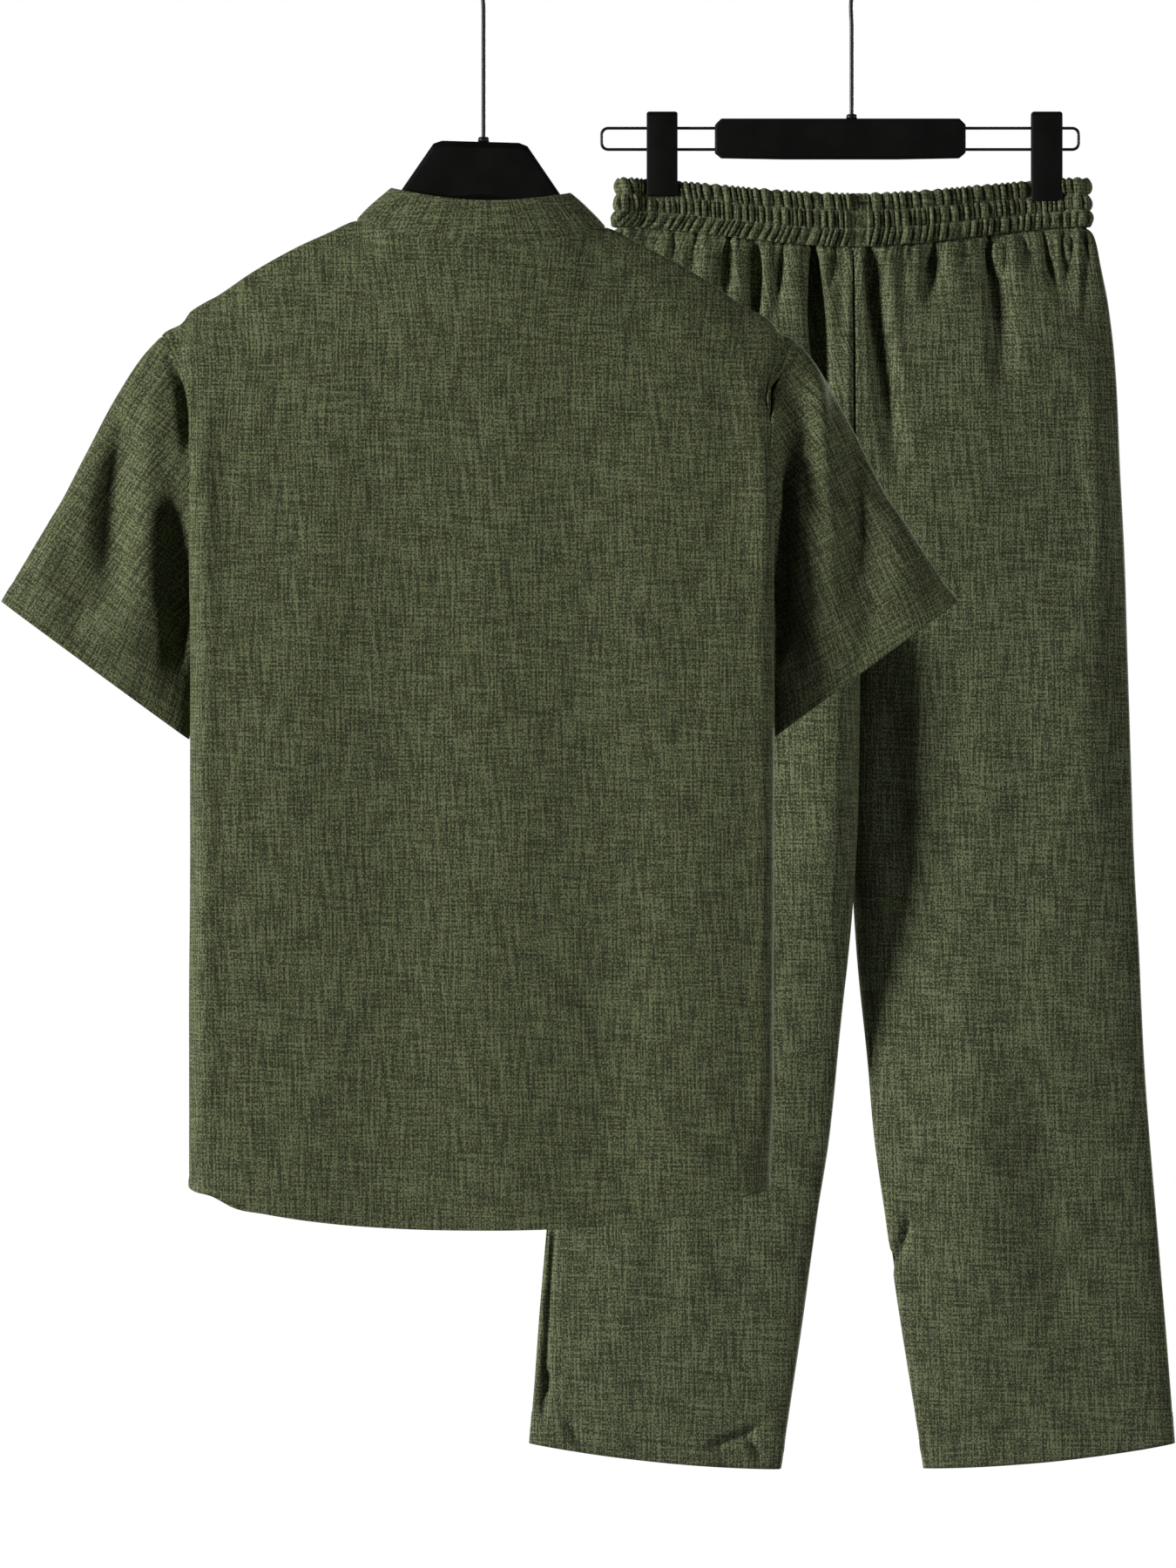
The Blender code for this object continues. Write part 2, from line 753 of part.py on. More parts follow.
def sleeve_grid(side):
    """The sleeve's outer face, rings from the armhole to the cuff."""
    turns = [(t, False) for t in SLEEVE_TURNS]
    turns += [(t, True) for t in reversed(SLEEVE_TURNS[1:-1])]
    if side > 0:
        turns = [turns[0]] + list(reversed(turns[1:]))
    rings = []
    for share in SLEEVE.column("share"):
        top = np.array([SLEEVE.at("top_x", share), SLEEVE.at("top_drop", share)])
        low = np.array([SLEEVE.at("low_x", share), SLEEVE.at("low_drop", share)])
        depth = SLEEVE.at("depth", share)
        own = SLEEVE.at("own", share)
        ring = []
        for turn, front in turns:
            angle = math.radians(turn)
            lift = max(math.sin(angle), 0.0) ** SLEEVE_FULL
            mid = (top + low) / 2.0 + (top - low) / 2.0 * math.cos(angle)
            first = armhole_point(side, turn, front)
            start_top = np.array([SLEEVE.at("top_x", 0), SLEEVE.at("top_drop", 0)])
            start_low = np.array([SLEEVE.at("low_x", 0), SLEEVE.at("low_drop", 0)])
            start = (start_top + start_low) / 2.0 + (start_top - start_low) / 2.0 * math.cos(angle)
            off = np.array([abs(first[0]), first[2]]) - start
            x, drop = mid + off * (1.0 - own)
            y = depth * lift
            for at, height, width, begin, end in SLEEVE_FOLDS.rows:
                fade = smooth_step((share - begin) / 0.18) * smooth_step((end - share) / 0.3)
                where = turn - (6.0 if front else 0.0)
                y += height * fade * math.exp(-(((where - at) / width) ** 2)) * lift
            x -= side * SLEEVE_ASKEW * 4.0 * share * (1.0 - share) * (1.0 + math.cos(angle)) / 2.0
            ring.append((side * x, y if front else -y, drop))
        rings.append(ring)
    return np.array(rings)


def collar_grid():
    """The collar band's outer face, rows downward, from the left front round the back."""
    angles = [-a for a in FRONT_ANGLES] + [-a for a in reversed(BACK_ANGLES[:-1])]
    angles += list(BACK_ANGLES[1:-1]) + list(reversed(FRONT_ANGLES))
    rows = []
    for share in (0.0, 0.35, 0.7, 1.0):
        line = []
        for angle in angles:
            top = collar_top(angle)
            low = neck_point(angle)
            point = top + (low - top) * share
            turn = math.radians(angle)
            bulge = 1.4 * math.sin(math.pi * share)
            point = point + np.array([math.sin(turn), -math.cos(turn), 0.0]) * bulge
            line.append(point)
        rows.append(line)
    return np.array(rows), angles


def shirt(cloth, button_finish):
    """Build the shirt's cloth pieces and buttons."""
    left_back = settle(body_grid(-1, False))
    right_back = settle(body_grid(1, False))
    back = Sheet("shirt_back", np.concatenate([left_back[:, :0:-1], right_back], axis=1))
    left_front = Sheet("shirt_front_left", settle(body_grid(-1, True)))
    right_front = Sheet("shirt_front_right", settle(body_grid(1, True))[:, ::-1])
    collar_points, angles = collar_grid()
    collar = Sheet("shirt_collar_band", settle(collar_points))
    sleeves = {}
    for side, word in ((-1, "left"), (1, "right")):
        sleeves[side] = Sheet("shirt_sleeve_" + word, settle(sleeve_grid(side)), closed=True)
    sheets = [back, left_front, right_front, collar, *sleeves.values()]
    share_normals(sheets)
    from_middle = right_front.grid[:, :, 0] - ASKEW.at("shift", 0)
    right_front.inset = np.where(from_middle < LAP_X + 2.0, LAP_STEP, 0.0)
    collar.inset[:, [i for i, a in enumerate(angles) if a > 170.0]] = LAP_STEP
    half = SEAM_GAP / 2.0
    back.trim(top=half, left=half, right=half)
    left_front.trim(top=half, right=half)
    right_front.trim(top=half, left=half)
    collar.trim(bottom=half)
    for side, sheet in sleeves.items():
        sheet.grid[0] += np.array([side * 0.93, 0.0, -0.37]) * SEAM_GAP
    over = left_front.grid.copy()
    for sheet in sheets:
        sheet.build(cloth)
    drops = [NECK_Z - BUTTON_FIRST_DROP - BUTTON_PITCH * i for i in range(BUTTON_COUNT)]
    mid = 1
    for i, z in enumerate(drops):
        line = over[:, mid]
        y = np.interp(-z, -line[:, 2], line[:, 1])
        slope = np.interp(-z, -line[:, 2], np.gradient(line[:, 1], line[:, 2]))
        x = np.interp(-z, -line[:, 2], line[:, 0])
        outward = unit(np.array([0.0, 1.0, -slope]))
        button("shirt_button_" + str(i + 2), np.array([x, y, z]), outward, button_finish)
    at = angles.index(-180.0)
    place = (collar.grid[1, at] + collar.grid[2, at]) / 2.0
    outward = unit(collar.normals[1, at] + collar.normals[2, at])
    button("shirt_button_1", place + outward * 0.4, outward, button_finish)


def button(name, centre, outward, finish):
    """A dished button lying just off the cloth at centre."""
    across = unit(np.cross(outward, np.array([1.0, 0.0, 0.0])))
    along = unit(np.cross(across, outward))
    profile = (
        (0.0, 0.0),
        (BUTTON_RADIUS * 0.8, 0.0),
        (BUTTON_RADIUS, BUTTON_THICK * 0.45),
        (BUTTON_RADIUS * 0.86, BUTTON_THICK),
        (BUTTON_RADIUS * 0.66, BUTTON_THICK * 0.8),
        (0.0, BUTTON_THICK * 0.66),
    )
    points = []
    rings = []
    for radius, height in profile:
        level = centre + outward * (SEAM_GAP + height)
        if radius == 0.0:
            rings.append([len(points)])
            points.append(level)
            continue
        ring = []
        for i in range(BUTTON_SIDES):
            turn = 2.0 * math.pi * i / BUTTON_SIDES
            ring.append(len(points))
            points.append(level + (along * math.cos(turn) + across * math.sin(turn)) * radius)
        rings.append(ring)
    add_piece(name, points, lathe_faces(rings), finish)


def lathe_faces(rings):
    """Faces over rings of point numbers, where a ring of one point closes an end."""
    faces = []
    for low, high in zip(rings[:-1], rings[1:]):
        count = max(len(low), len(high))
        for i in range(count):
            j = (i + 1) % count
            if len(low) == 1:
                faces.append((low[0], high[j], high[i]))
            elif len(high) == 1:
                faces.append((low[i], low[j], high[0]))
            else:
                faces.append((low[i], low[j], high[j], high[i]))
    return faces


def tube(name, path, radii, finish):
    """A round wire along a path that stays in one upright plane parallel to X.

    Args:
        name: the piece's name.
        path: its centre points.
        radii: a radius per point.
        finish: its material.
    """
    path = np.array(path, dtype=float)
    ahead = unit(np.gradient(path, axis=0))
    normal = np.array([0.0, 1.0, 0.0])
    points = []
    rings = []
    for centre, forward, radius in zip(path, ahead, radii):
        aside = unit(np.cross(forward, normal))
        ring = []
        for i in range(WIRE_SIDES):
            turn = 2.0 * math.pi * (i + 0.5) / WIRE_SIDES
            ring.append(len(points))
            points.append(centre + (aside * math.cos(turn) + normal * math.sin(turn)) * radius)
        rings.append(ring)
    rings.insert(0, [len(points)])
    points.append(path[0])
    rings.append([len(points)])
    points.append(path[-1])
    faces = [tuple(reversed(face)) for face in lathe_faces(rings)]
    add_piece(name, points, faces, finish)


def hook_path(x, y, bottom):
    """A hook's centre line: over the rail and down its stem to the bottom."""
    radius = HOOK_INNER_RADIUS + WIRE_RADIUS
    centre = -HOOK_INNER_RADIUS
    path = []
    for degrees in range(205, -46, -25):
        turn = math.radians(degrees)
        path.append((x + radius * math.cos(turn), y, centre + radius * math.sin(turn)))
    for aside, z in HOOK_NECK:
        path.append((x + aside, y, z))
    path.append((x, y, bottom + FERRULE_HEIGHT + HARD_GAP))
    return path


def hooks(metal):
    """Both wires, each with a small ferrule where it enters its hanger."""
    hanger_top = float(settle([[0.0, 0.0, HANGER.at("top", 0.0)]])[0][2])
    bottoms = (
        ("shirt_hook", 0.0, 0.0, hanger_top + HARD_GAP),
        ("trousers_hook", TROUSERS_X, TROUSERS_Y, BAR_TOP_Z + HARD_GAP),
    )
    for name, x, y, bottom in bottoms:
        path = hook_path(x, y, bottom)
        radii = [WIRE_RADIUS] * len(path)
        path += [(x, y, bottom + FERRULE_HEIGHT - HARD_GAP), (x, y, bottom)]
        radii += [FERRULE_RADIUS, FERRULE_RADIUS]
        tube(name, path, radii, metal)


def shirt_hanger(plastic):
    """The black shoulder hanger: sections from one end to the other."""
    rows = list(HANGER.rows)
    stations = [(-r[0], *r[1:]) for r in reversed(rows)] + [tuple(r) for r in rows[1:]]
    points = []
    rings = []
    for x, top, low, half in stations:
        ring = []
        r = min(half * 0.75, (low - top) * 0.3)
        outline = (
            (-half + r, top),
            (half - r, top),
            (half, top + r),
            (half, low - r),
            (half - r, low),
            (-half + r, low),
            (-half, low - r),
            (-half, top + r),
        )
        for y, drop in outline:
            ring.append(len(points))
            points.append((x, y, drop))
        rings.append(ring)
    points = list(settle(points))
    ends = []
    for ring in (rings[0], rings[-1]):
        ends.append([len(points)])
        points.append(np.mean([points[i] for i in ring], axis=0))
    faces = [tuple(reversed(face)) for face in lathe_faces([ends[0], *rings, ends[1]])]
    add_piece("shirt_hanger", points, faces, plastic)


def outline_block(name, outline, sections, place, finish):
    """A solid of one outline repeated at several depths, each drawn in by some amount."""
    points = []
    rings = []
    count = len(outline)
    middle = np.mean(np.array(outline), axis=0)
    for depth, shrink in sections:
        ring = []
        for a, b in outline:
            scale_a = 1.0 - shrink / max(np.ptp([p[0] for p in outline]) / 2.0, 1e-6)
            scale_b = 1.0 - shrink / max(np.ptp([p[1] for p in outline]) / 2.0, 1e-6)
            ring.append(len(points))
            points.append(
                place(middle[0] + (a - middle[0]) * scale_a, middle[1] + (b - middle[1]) * scale_b, depth)
            )
        rings.append(ring)
    faces = []
    for low, high in zip(rings[:-1], rings[1:]):
        for i in range(count):
            j = (i + 1) % count
            faces.append((low[i], low[j], high[j], high[i]))
    faces.append(tuple(reversed(rings[0])))
    faces.append(tuple(rings[-1]))
    faces = [tuple(reversed(face)) for face in faces]
    return add_piece(name, points, faces, finish, smooth=False)


def clip_hanger(plastic, metal):
    """The bar, its two wire loops and the two clips."""
    low_z = BAR_TOP_Z - BAR_HEIGHT
    outline = [
        (-BAR_HALF + 5.0, BAR_TOP_Z),
        (-BAR_HALF, BAR_TOP_Z - 5.0),
        (-BAR_HALF, low_z + 5.0),
        (-BAR_HALF + 5.0, low_z + 0.9),
        (-45.0, low_z),
        (45.0, low_z),
        (BAR_HALF - 5.0, low_z + 0.9),
        (BAR_HALF, low_z + 5.0),
        (BAR_HALF, BAR_TOP_Z - 5.0),
        (BAR_HALF - 5.0, BAR_TOP_Z),
    ]
    half = BAR_DEPTH / 2.0
    sections = ((-half, 1.4), (-half + 1.2, 0.0), (half - 1.2, 0.0), (half, 1.4))

    def place(x, z, y):
        return (TROUSERS_X + BAR_SHIFT + x, TROUSERS_Y + y, z)

    outline_block("clip_hanger_bar", outline, sections, place, plastic)
    for side, word in ((-1, "left"), (1, "right")):
        near = BAR_HALF + HARD_GAP
        bend = RAIL_BEND
        path = [
            (near, RAIL_TOP_Z),
            (RAIL_HALF - bend, RAIL_TOP_Z),
            (RAIL_HALF - bend * 0.3, RAIL_TOP_Z - bend * 0.3),
            (RAIL_HALF, RAIL_TOP_Z - bend),
            (RAIL_HALF, RAIL_LOW_Z + bend),
            (RAIL_HALF - bend * 0.3, RAIL_LOW_Z + bend * 0.3),
            (RAIL_HALF - bend, RAIL_LOW_Z),
            (near, RAIL_LOW_Z),
        ]
        placed = [(TROUSERS_X + BAR_SHIFT + side * x, TROUSERS_Y, z) for x, z in path]
        tube("clip_rail_" + word, placed, [RAIL_RADIUS] * len(path), metal)
        clip("clip_" + word, side, plastic)


def clip(name, side, plastic):
    """A clip: two plates that run on the rails above and grip the waistband below."""
    low = CLIP_LOW_Z - (4.0 if side > 0 else 0.0)
    out = CLIP_GAP + CLIP_PLATE
    top = CLIP_TOP_Z
    seat = RAIL_RADIUS + SEAM_GAP
    seat_low = RAIL_LOW_Z - 3.0
    outline = [
        (-out, low + 1.0),
        (-out, top - 3.0),
        (-out + 2.4, top),
        (out - 2.4, top),
        (out, top - 3.0),
        (out, low + 1.0),
        (out - 0.8, low),
        (CLIP_GAP, low),
        (CLIP_GAP, seat_low - 2.0),
        (seat, seat_low),
        (seat, top - 4.0),
        (-seat, top - 4.0),
        (-seat, seat_low),
        (-CLIP_GAP, seat_low - 2.0),
        (-CLIP_GAP, low),
        (-out + 0.8, low),
    ]
    points = []
    rings = []
    for x, shrink in ((-CLIP_HALF_WIDTH, 1.0), (-CLIP_HALF_WIDTH + 1.6, 0.0),
                      (CLIP_HALF_WIDTH - 1.6, 0.0), (CLIP_HALF_WIDTH, 1.0)):
        ring = []
        for y, z in outline:
            grow = shrink if abs(y) > CLIP_GAP + 0.1 else 0.0
            y2 = y - math.copysign(grow * 0.6, y)
            z2 = z - shrink if z > (top + low) / 2.0 and grow else z
            z2 = z2 + shrink if z < (top + low) / 2.0 else z2
            ring.append(len(points))
            points.append((TROUSERS_X + side * CLIP_X + CLIP_SHIFT + x, TROUSERS_Y + y2, z2))
        rings.append(ring)
    count = len(outline)
    faces = []
    for a, b in zip(rings[:-1], rings[1:]):
        for i in range(count):
            j = (i + 1) % count
            faces.append((a[i], b[i], b[j], a[j]))
    cap_parts = ((0, 1, 13, 14, 15), (1, 2, 11, 12, 13), (2, 3, 10, 11), (3, 4, 8, 9, 10), (4, 5, 6, 7, 8))
    for part in cap_parts:
        faces.append(tuple(rings[0][i] for i in part))
        faces.append(tuple(rings[-1][i] for i in reversed(part)))
    add_piece(name, points, faces, plastic, smooth=False)


def ring_depth(x, half):
    """Depth of the waistband's inner face at x, rounded shut at its ends."""
    share = min(abs(x) / half, 1.0)
    last = BAND_RING.rows[-1]
    if share <= last[0]:
        return BAND_RING.at("depth", share)
    reach = (share - last[0]) / (1.0 - last[0])
    return last[1] * math.sqrt(max(1.0 - reach * reach, 0.0))


def band_drop(x, share, front):
    """Drop of the band below its top at the side, sagging between the clips."""
    which = 1 if front else 0
    sag = BAND_TOP_SAG[which] * (1 - share) + BAND_SEAM_SAG[which] * share
    inside = 0.5 + 0.5 * math.cos(math.pi * min(abs(x) / BAND_SAG_HALF, 1.0))
    return BAND_HEIGHT * share + sag * inside


def waistband(cloth):
    """The gathered waistband: gathers in its outer points over a plain inside."""
    count = GATHERS * GATHER_POINTS
    half = (BAND_TOP_HALF + BAND_SEAM_HALF) / 2.0
    turns = np.linspace(0.0, 2.0 * math.pi, 4001)
    base = []
    for turn in turns:
        x = half * math.sin(turn)
        y = -math.copysign(ring_depth(x, half), math.cos(turn))
        base.append((x, y))
    base = np.array(base)
    length = np.concatenate([[0.0], np.cumsum(np.linalg.norm(np.diff(base, axis=0), axis=1))])
    at = np.interp(np.arange(count) / count * length[-1], length, np.arange(len(turns)))
    ring = np.stack([np.interp(at, np.arange(len(turns)), base[:, k]) for k in (0, 1)], axis=1)
    ahead = unit(np.roll(ring, -1, axis=0) - np.roll(ring, 1, axis=0))
    out = np.stack([ahead[:, 1], -ahead[:, 0]], axis=1)
    rows = []
    for share, wall, gather in BAND_ROWS.rows:
        spread = (BAND_TOP_HALF + (BAND_SEAM_HALF - BAND_TOP_HALF) * share) / half
        line = []
        for i in range(count):
            x, y = ring[i]
            pleat = i // GATHER_POINTS
            lively = 1.0 + 0.28 * math.sin(pleat * 2.4 + 0.6) + 0.1 * math.sin(pleat * 5.3)
            pinch = 1.0 - 0.75 * math.exp(-(((abs(x) - CLIP_X) / 21.0) ** 4))
            if y < 0 and -3.0 < x < 13.0:
                pinch = min(pinch, 0.3)
            wave = (1.0, 0.1, -1.0)[i % GATHER_POINTS]
            thick = BAND_WALL_PLAIN + (wall - BAND_WALL_PLAIN) * (0.45 + 0.55 * pinch)
            thick += gather * wave * lively * pinch
            thick = min(max(thick, 1.0), 3.0)
            front = y > 0
            drop = band_drop(x * spread, share, front)
            line.append((x * spread + out[i][0] * thick, y + out[i][1] * thick, drop))
        rows.append(line)
    inner_at = [i for i in range(count) if i % 3 == 0 or abs(ring[i][0]) > half * 0.955]
    inner = []
    for share in (0.0, 1.0):
        spread = (BAND_TOP_HALF + (BAND_SEAM_HALF - BAND_TOP_HALF) * share) / half
        line = []
        for i in inner_at:
            x, y = ring[i]
            line.append((x * spread, y, band_drop(x * spread, share, y > 0)))
        inner.append(line)
    points = []
    rings = []
    for line in rows + inner:
        ring_ids = []
        for x, y, drop in line:
            ring_ids.append(len(points))
            points.append((TROUSERS_X + x, TROUSERS_Y + y, WAIST_Z - drop))
        rings.append(ring_ids)
    outer_ids = rings[: len(rows)]
    top_in, low_in = rings[len(rows)], rings[len(rows) + 1]
    faces = []
    for a, b in zip(outer_ids[:-1], outer_ids[1:]):
        for i in range(count):
            j = (i + 1) % count
            faces.append((a[i], b[i], b[j], a[j]))
    share_out = [i / count for i in range(count)]
    share_in = [i / count for i in inner_at]
    faces += zip_rings(top_in, outer_ids[0], share_in, share_out)
    faces += zip_rings(outer_ids[-1], low_in, share_out, share_in)
    inner_count = len(inner_at)
    for i in range(inner_count):
        j = (i + 1) % inner_count
        faces.append((top_in[i], top_in[j], low_in[j], low_in[i]))
    add_piece("trousers_waistband", points, faces, cloth)


def zip_rings(upper, lower, share_upper, share_lower, closed=True):
    """Triangles between two lines of points that differ in number.

    Args:
        upper: point numbers of the first line.
        lower: point numbers of the second, which lies below or outside the first.
        share_upper: how far along each of the first's points lies, rising.
        share_lower: the same for the second.
        closed: whether both lines are rings.

    Returns:
        Triangles wound like (upper, lower, next lower).
    """
    faces = []
    i = 0
    j = 0
    end_i = len(upper) if closed else len(upper) - 1
    end_j = len(lower) if closed else len(lower) - 1

    def share(values, k):
        return values[k] if k < len(values) else values[k - len(values)] + 1.0

    while i < end_i or j < end_j:
        take_lower = i >= end_i
        if i < end_i and j < end_j:
            next_lower = share(share_lower, j) + share(share_lower, j + 1)
            next_upper = share(share_upper, i) + share(share_upper, i + 1)
            take_lower = next_lower <= next_upper
        u = upper[i % len(upper)]
        w = lower[j % len(lower)]
        if take_lower:
            faces.append((u, w, lower[(j + 1) % len(lower)]))
            j += 1
        else:
            faces.append((u, w, upper[(i + 1) % len(upper)]))
            i += 1
    return faces


def fold_height(kind, x, drop):
    """How far the gathers push the cloth outward at x, so far below the seam."""
    table = FOLDS[kind]
    places = []
    heights = []
    for at, height, drift, length in table.rows:
        fade = 1.0 - smooth_step(drop / length)
        places.append(at + drift * drop)
        heights.append(height * fade)
    places = np.maximum.accumulate(np.array(places))
    k = int(np.clip(np.searchsorted(places, x) - 1, 0, len(places) - 2))
    span = max(places[k + 1] - places[k], 1e-6)
    t = min(max((x - places[k]) / span, 0.0), 1.0)
    t = 0.5 - 0.5 * math.cos(math.pi * t)
    return heights[k] * (1 - t) + heights[k + 1] * t


def leg_point(kind, across, drop_side):
    """A point of a leg panel's outer face.

    Args:
        kind: back_left, back_right, front_left or front_right.
        across: 0 at the centre seam or inseam, 1 at the side seam.
        drop_side: the row's drop below the band's top, measured at the side.

    Returns:
        x, y and drop, with x away from the middle and y away from the wearer.
    """
    front = kind.startswith("front")
    left = kind.endswith("left")
    seam = BAND_HEIGHT + SEAM_GAP
    inner = LEG.at("inner", drop_side)
    outer = LEG.at("outer", drop_side)
    depth = LEG.at("front" if front else "back", drop_side)
    near = LEFT_INNER_ROUND if left else RIGHT_INNER_ROUND
    far = OUTER_ROUND
    above = drop_side <= CROTCH_DROP
    x = inner + (outer - inner) * across
    if above:
        x = SEAM_GAP / 2.0 + (outer - SEAM_GAP / 2.0) * across
    close = 0.0
    if above:
        reach = (drop_side - (CROTCH_DROP - CROTCH_CURVE)) / CROTCH_CURVE
        reach = min(max(reach, 0.0), 1.0)
        close = math.sqrt(max(1.0 - reach * reach, 0.0))
    open_part = (1.0 - across**far) ** (1.0 / far)
    inner_part = max(1.0 - (1.0 - across) ** near, 0.0) ** (1.0 / near)
    y = depth * open_part * (close + (1.0 - close) * inner_part)
    ring = ring_depth(min(x, BAND_SEAM_HALF * 0.9999), BAND_SEAM_HALF) + 1.5
    if x > BAND_SEAM_HALF * 0.965:
        ring = ring_depth(x * BAND_SEAM_HALF / outer, BAND_SEAM_HALF)
    share = smooth_step((drop_side - seam) / 90.0)
    y = ring * (1.0 - share) + y * share
    below = drop_side - seam
    calm = smooth_step((1.0 - across) / 0.06) if across > 0.9 else 1.0
    y += fold_height(kind, x, max(below, 0.0)) * calm * min(0.35 + below / 20.0, 1.0)
    sag = band_drop(x, 1.0, front) - BAND_HEIGHT
    bow = HEM_BOW * 4.0 * across * (1.0 - across) * smooth_step((drop_side - 900.0) / 110.0)
    drop = drop_side + bow + sag * (1.0 - smooth_step(below / 260.0))
    least = (TROUSER_WALL + 0.6) * min((1.0 - across) / 0.05, 1.0)
    if above:
        least *= min(1.0, close * 3.0)
    else:
        least = 0.0
    y = max(y, least, 0.0)
    start, full, leaving, gone = LEG_CROSS_DROPS
    crossed = smooth_step((drop_side - start) / (full - start))
    crossed *= 1.0 - smooth_step((drop_side - leaving) / (gone - leaving))
    ahead = LEG_CROSS * crossed * (1.0 - across) ** 2
    return np.array([x, y + (ahead if left != front else -ahead), drop])


def leg_panel(kind, cloth):
    """One trouser panel: a finely folded top part and a plainer lower part."""
    front = kind.startswith("front")
    side = -1 if kind.endswith("left") else 1
    seam = BAND_HEIGHT + SEAM_GAP
    table = FOLDS[kind]
    top_across = [row[0] / table.rows[-1][0] for row in table.rows]
    top_across[-2:] = [0.965, 0.99, 1.0]
    lines = []
    for drop in FOLD_ROWS:
        lines.append((top_across, [leg_point(kind, a, seam + drop) for a in top_across]))
    for drop in LEG_ROWS + LOW_ROWS:
        lines.append((LEG_ACROSS, [leg_point(kind, a, drop) for a in LEG_ACROSS]))
    hem = []
    for a in LEG_ACROSS:
        point = leg_point(kind, a, HEM_INNER_DROP + (HEM_OUTER_DROP - HEM_INNER_DROP) * a)
        hem.append(point)
    lines.append((LEG_ACROSS, hem))

    def place(point):
        x, y, drop = point
        return np.array(
            [TROUSERS_X + side * x, TROUSERS_Y + (y if front else -y), WAIST_Z - drop]
        )

    def normal(k, a):
        drop = row_drop(k)
        step_a = 0.02
        step_d = 2.5
        a0, a1 = max(a - step_a, 0.0), min(a + step_a, 1.0)
        d0, d1 = max(drop - step_d, seam), drop + step_d
        if drop < CROTCH_DROP <= d1:
            d1 = drop
        if d0 <= CROTCH_DROP < drop:
            d0 = drop
        across = place(leg_point(kind, a1, drop)) - place(leg_point(kind, a0, drop))
        down = place(leg_point(kind, a, d1)) - place(leg_point(kind, a, d0))
        facing = np.cross(across, down)
        if (facing[1] > 0) != front:
            facing = -facing
        return facing / max(np.linalg.norm(facing), 1e-9)

    def row_drop(k):
        if k < len(FOLD_ROWS):
            return seam + FOLD_ROWS[k]
        k -= len(FOLD_ROWS)
        plain = LEG_ROWS + LOW_ROWS
        return plain[k] if k < len(plain) else (HEM_INNER_DROP + HEM_OUTER_DROP) / 2.0

    outer_ids = []
    inner_ids = []
    shares = []
    points = []
    for k, (across, line) in enumerate(lines):
        out_line = []
        in_line = []
        for a, point in zip(across, line):
            p = place(point)
            n = normal(k, a)
            if a == 1.0:
                n = np.array([float(side), 0.0, 0.0])
                p = p + np.array([0.0, (0.15 if front else -0.15), 0.0])
            if a == 0.0 and row_drop(k) >= CROTCH_DROP:
                n = np.array([-float(side), 0.0, 0.0])
                p = p + np.array([0.0, (0.15 if front else -0.15), 0.0])
            elif a == 0.0:
                n = unit(n * np.array([0.0, 1.0, 1.0]))
            if k == 0:
                n = unit(n * np.array([1.0, 1.0, 0.0]))
            out_line.append(len(points))
            points.append(p)
            in_line.append(len(points))
            points.append(p - n * TROUSER_WALL)
        outer_ids.append(out_line)
        inner_ids.append(in_line)
        shares.append(list(across))
    faces = []
    for k in range(len(lines) - 1):
        up, down = shares[k], shares[k + 1]
        faces += zip_rings(outer_ids[k], outer_ids[k + 1], up, down, closed=False)
        back = zip_rings(inner_ids[k], inner_ids[k + 1], up, down, closed=False)
        faces += [tuple(reversed(face)) for face in back]
    for ids, inn, flip in ((outer_ids[0], inner_ids[0], False), (outer_ids[-1], inner_ids[-1], True)):
        for c in range(len(ids) - 1):
            face = (ids[c], ids[c + 1], inn[c + 1], inn[c])
            faces.append(tuple(reversed(face)) if flip else face)
    for k in range(len(lines) - 1):
        first = (outer_ids[k][0], inner_ids[k][0], inner_ids[k + 1][0], outer_ids[k + 1][0])
        last = (outer_ids[k][-1], outer_ids[k + 1][-1], inner_ids[k + 1][-1], inner_ids[k][-1])
        faces += [first, last]
    outward = (side > 0) != front
    if not outward:
        faces = [tuple(reversed(face)) for face in faces]
    add_piece("trousers_" + kind, points, faces, cloth)


def main():
    """Build every piece."""
    clear_scene()
    shirt_cloth = material("shirt_cloth", (0.072, 0.083, 0.042), 0.9)
    trouser_cloth = material("trouser_cloth", (0.068, 0.080, 0.044), 0.9)
    button_finish = material("button_resin", (0.045, 0.05, 0.03), 0.4)
    plastic = material("hanger_plastic", (0.006, 0.006, 0.006), 0.5)
    metal = material("hanger_wire", (0.01, 0.01, 0.01), 0.35, 0.9)
    shirt(shirt_cloth, button_finish)
    shirt_hanger(plastic)
    hooks(metal)
    clip_hanger(plastic, metal)
    waistband(trouser_cloth)
    for kind in FOLDS:
        leg_panel(kind, trouser_cloth)


main()
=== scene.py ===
"""The looks of a hanging co-ord set: a band-collar shirt and gathered trousers on two hangers.

The backs of both garments face -Y and +X is to the right of that view. Sizes are in
millimetres unless a comment says otherwise, and MM turns them into metres. The cloth pieces
follow the same sections as the solids of the frame, with a finer surface, the small creases,
the gathers of the waist, the seams and the sewing.
"""

import logging
import math
from dataclasses import dataclass, field
from enum import Enum

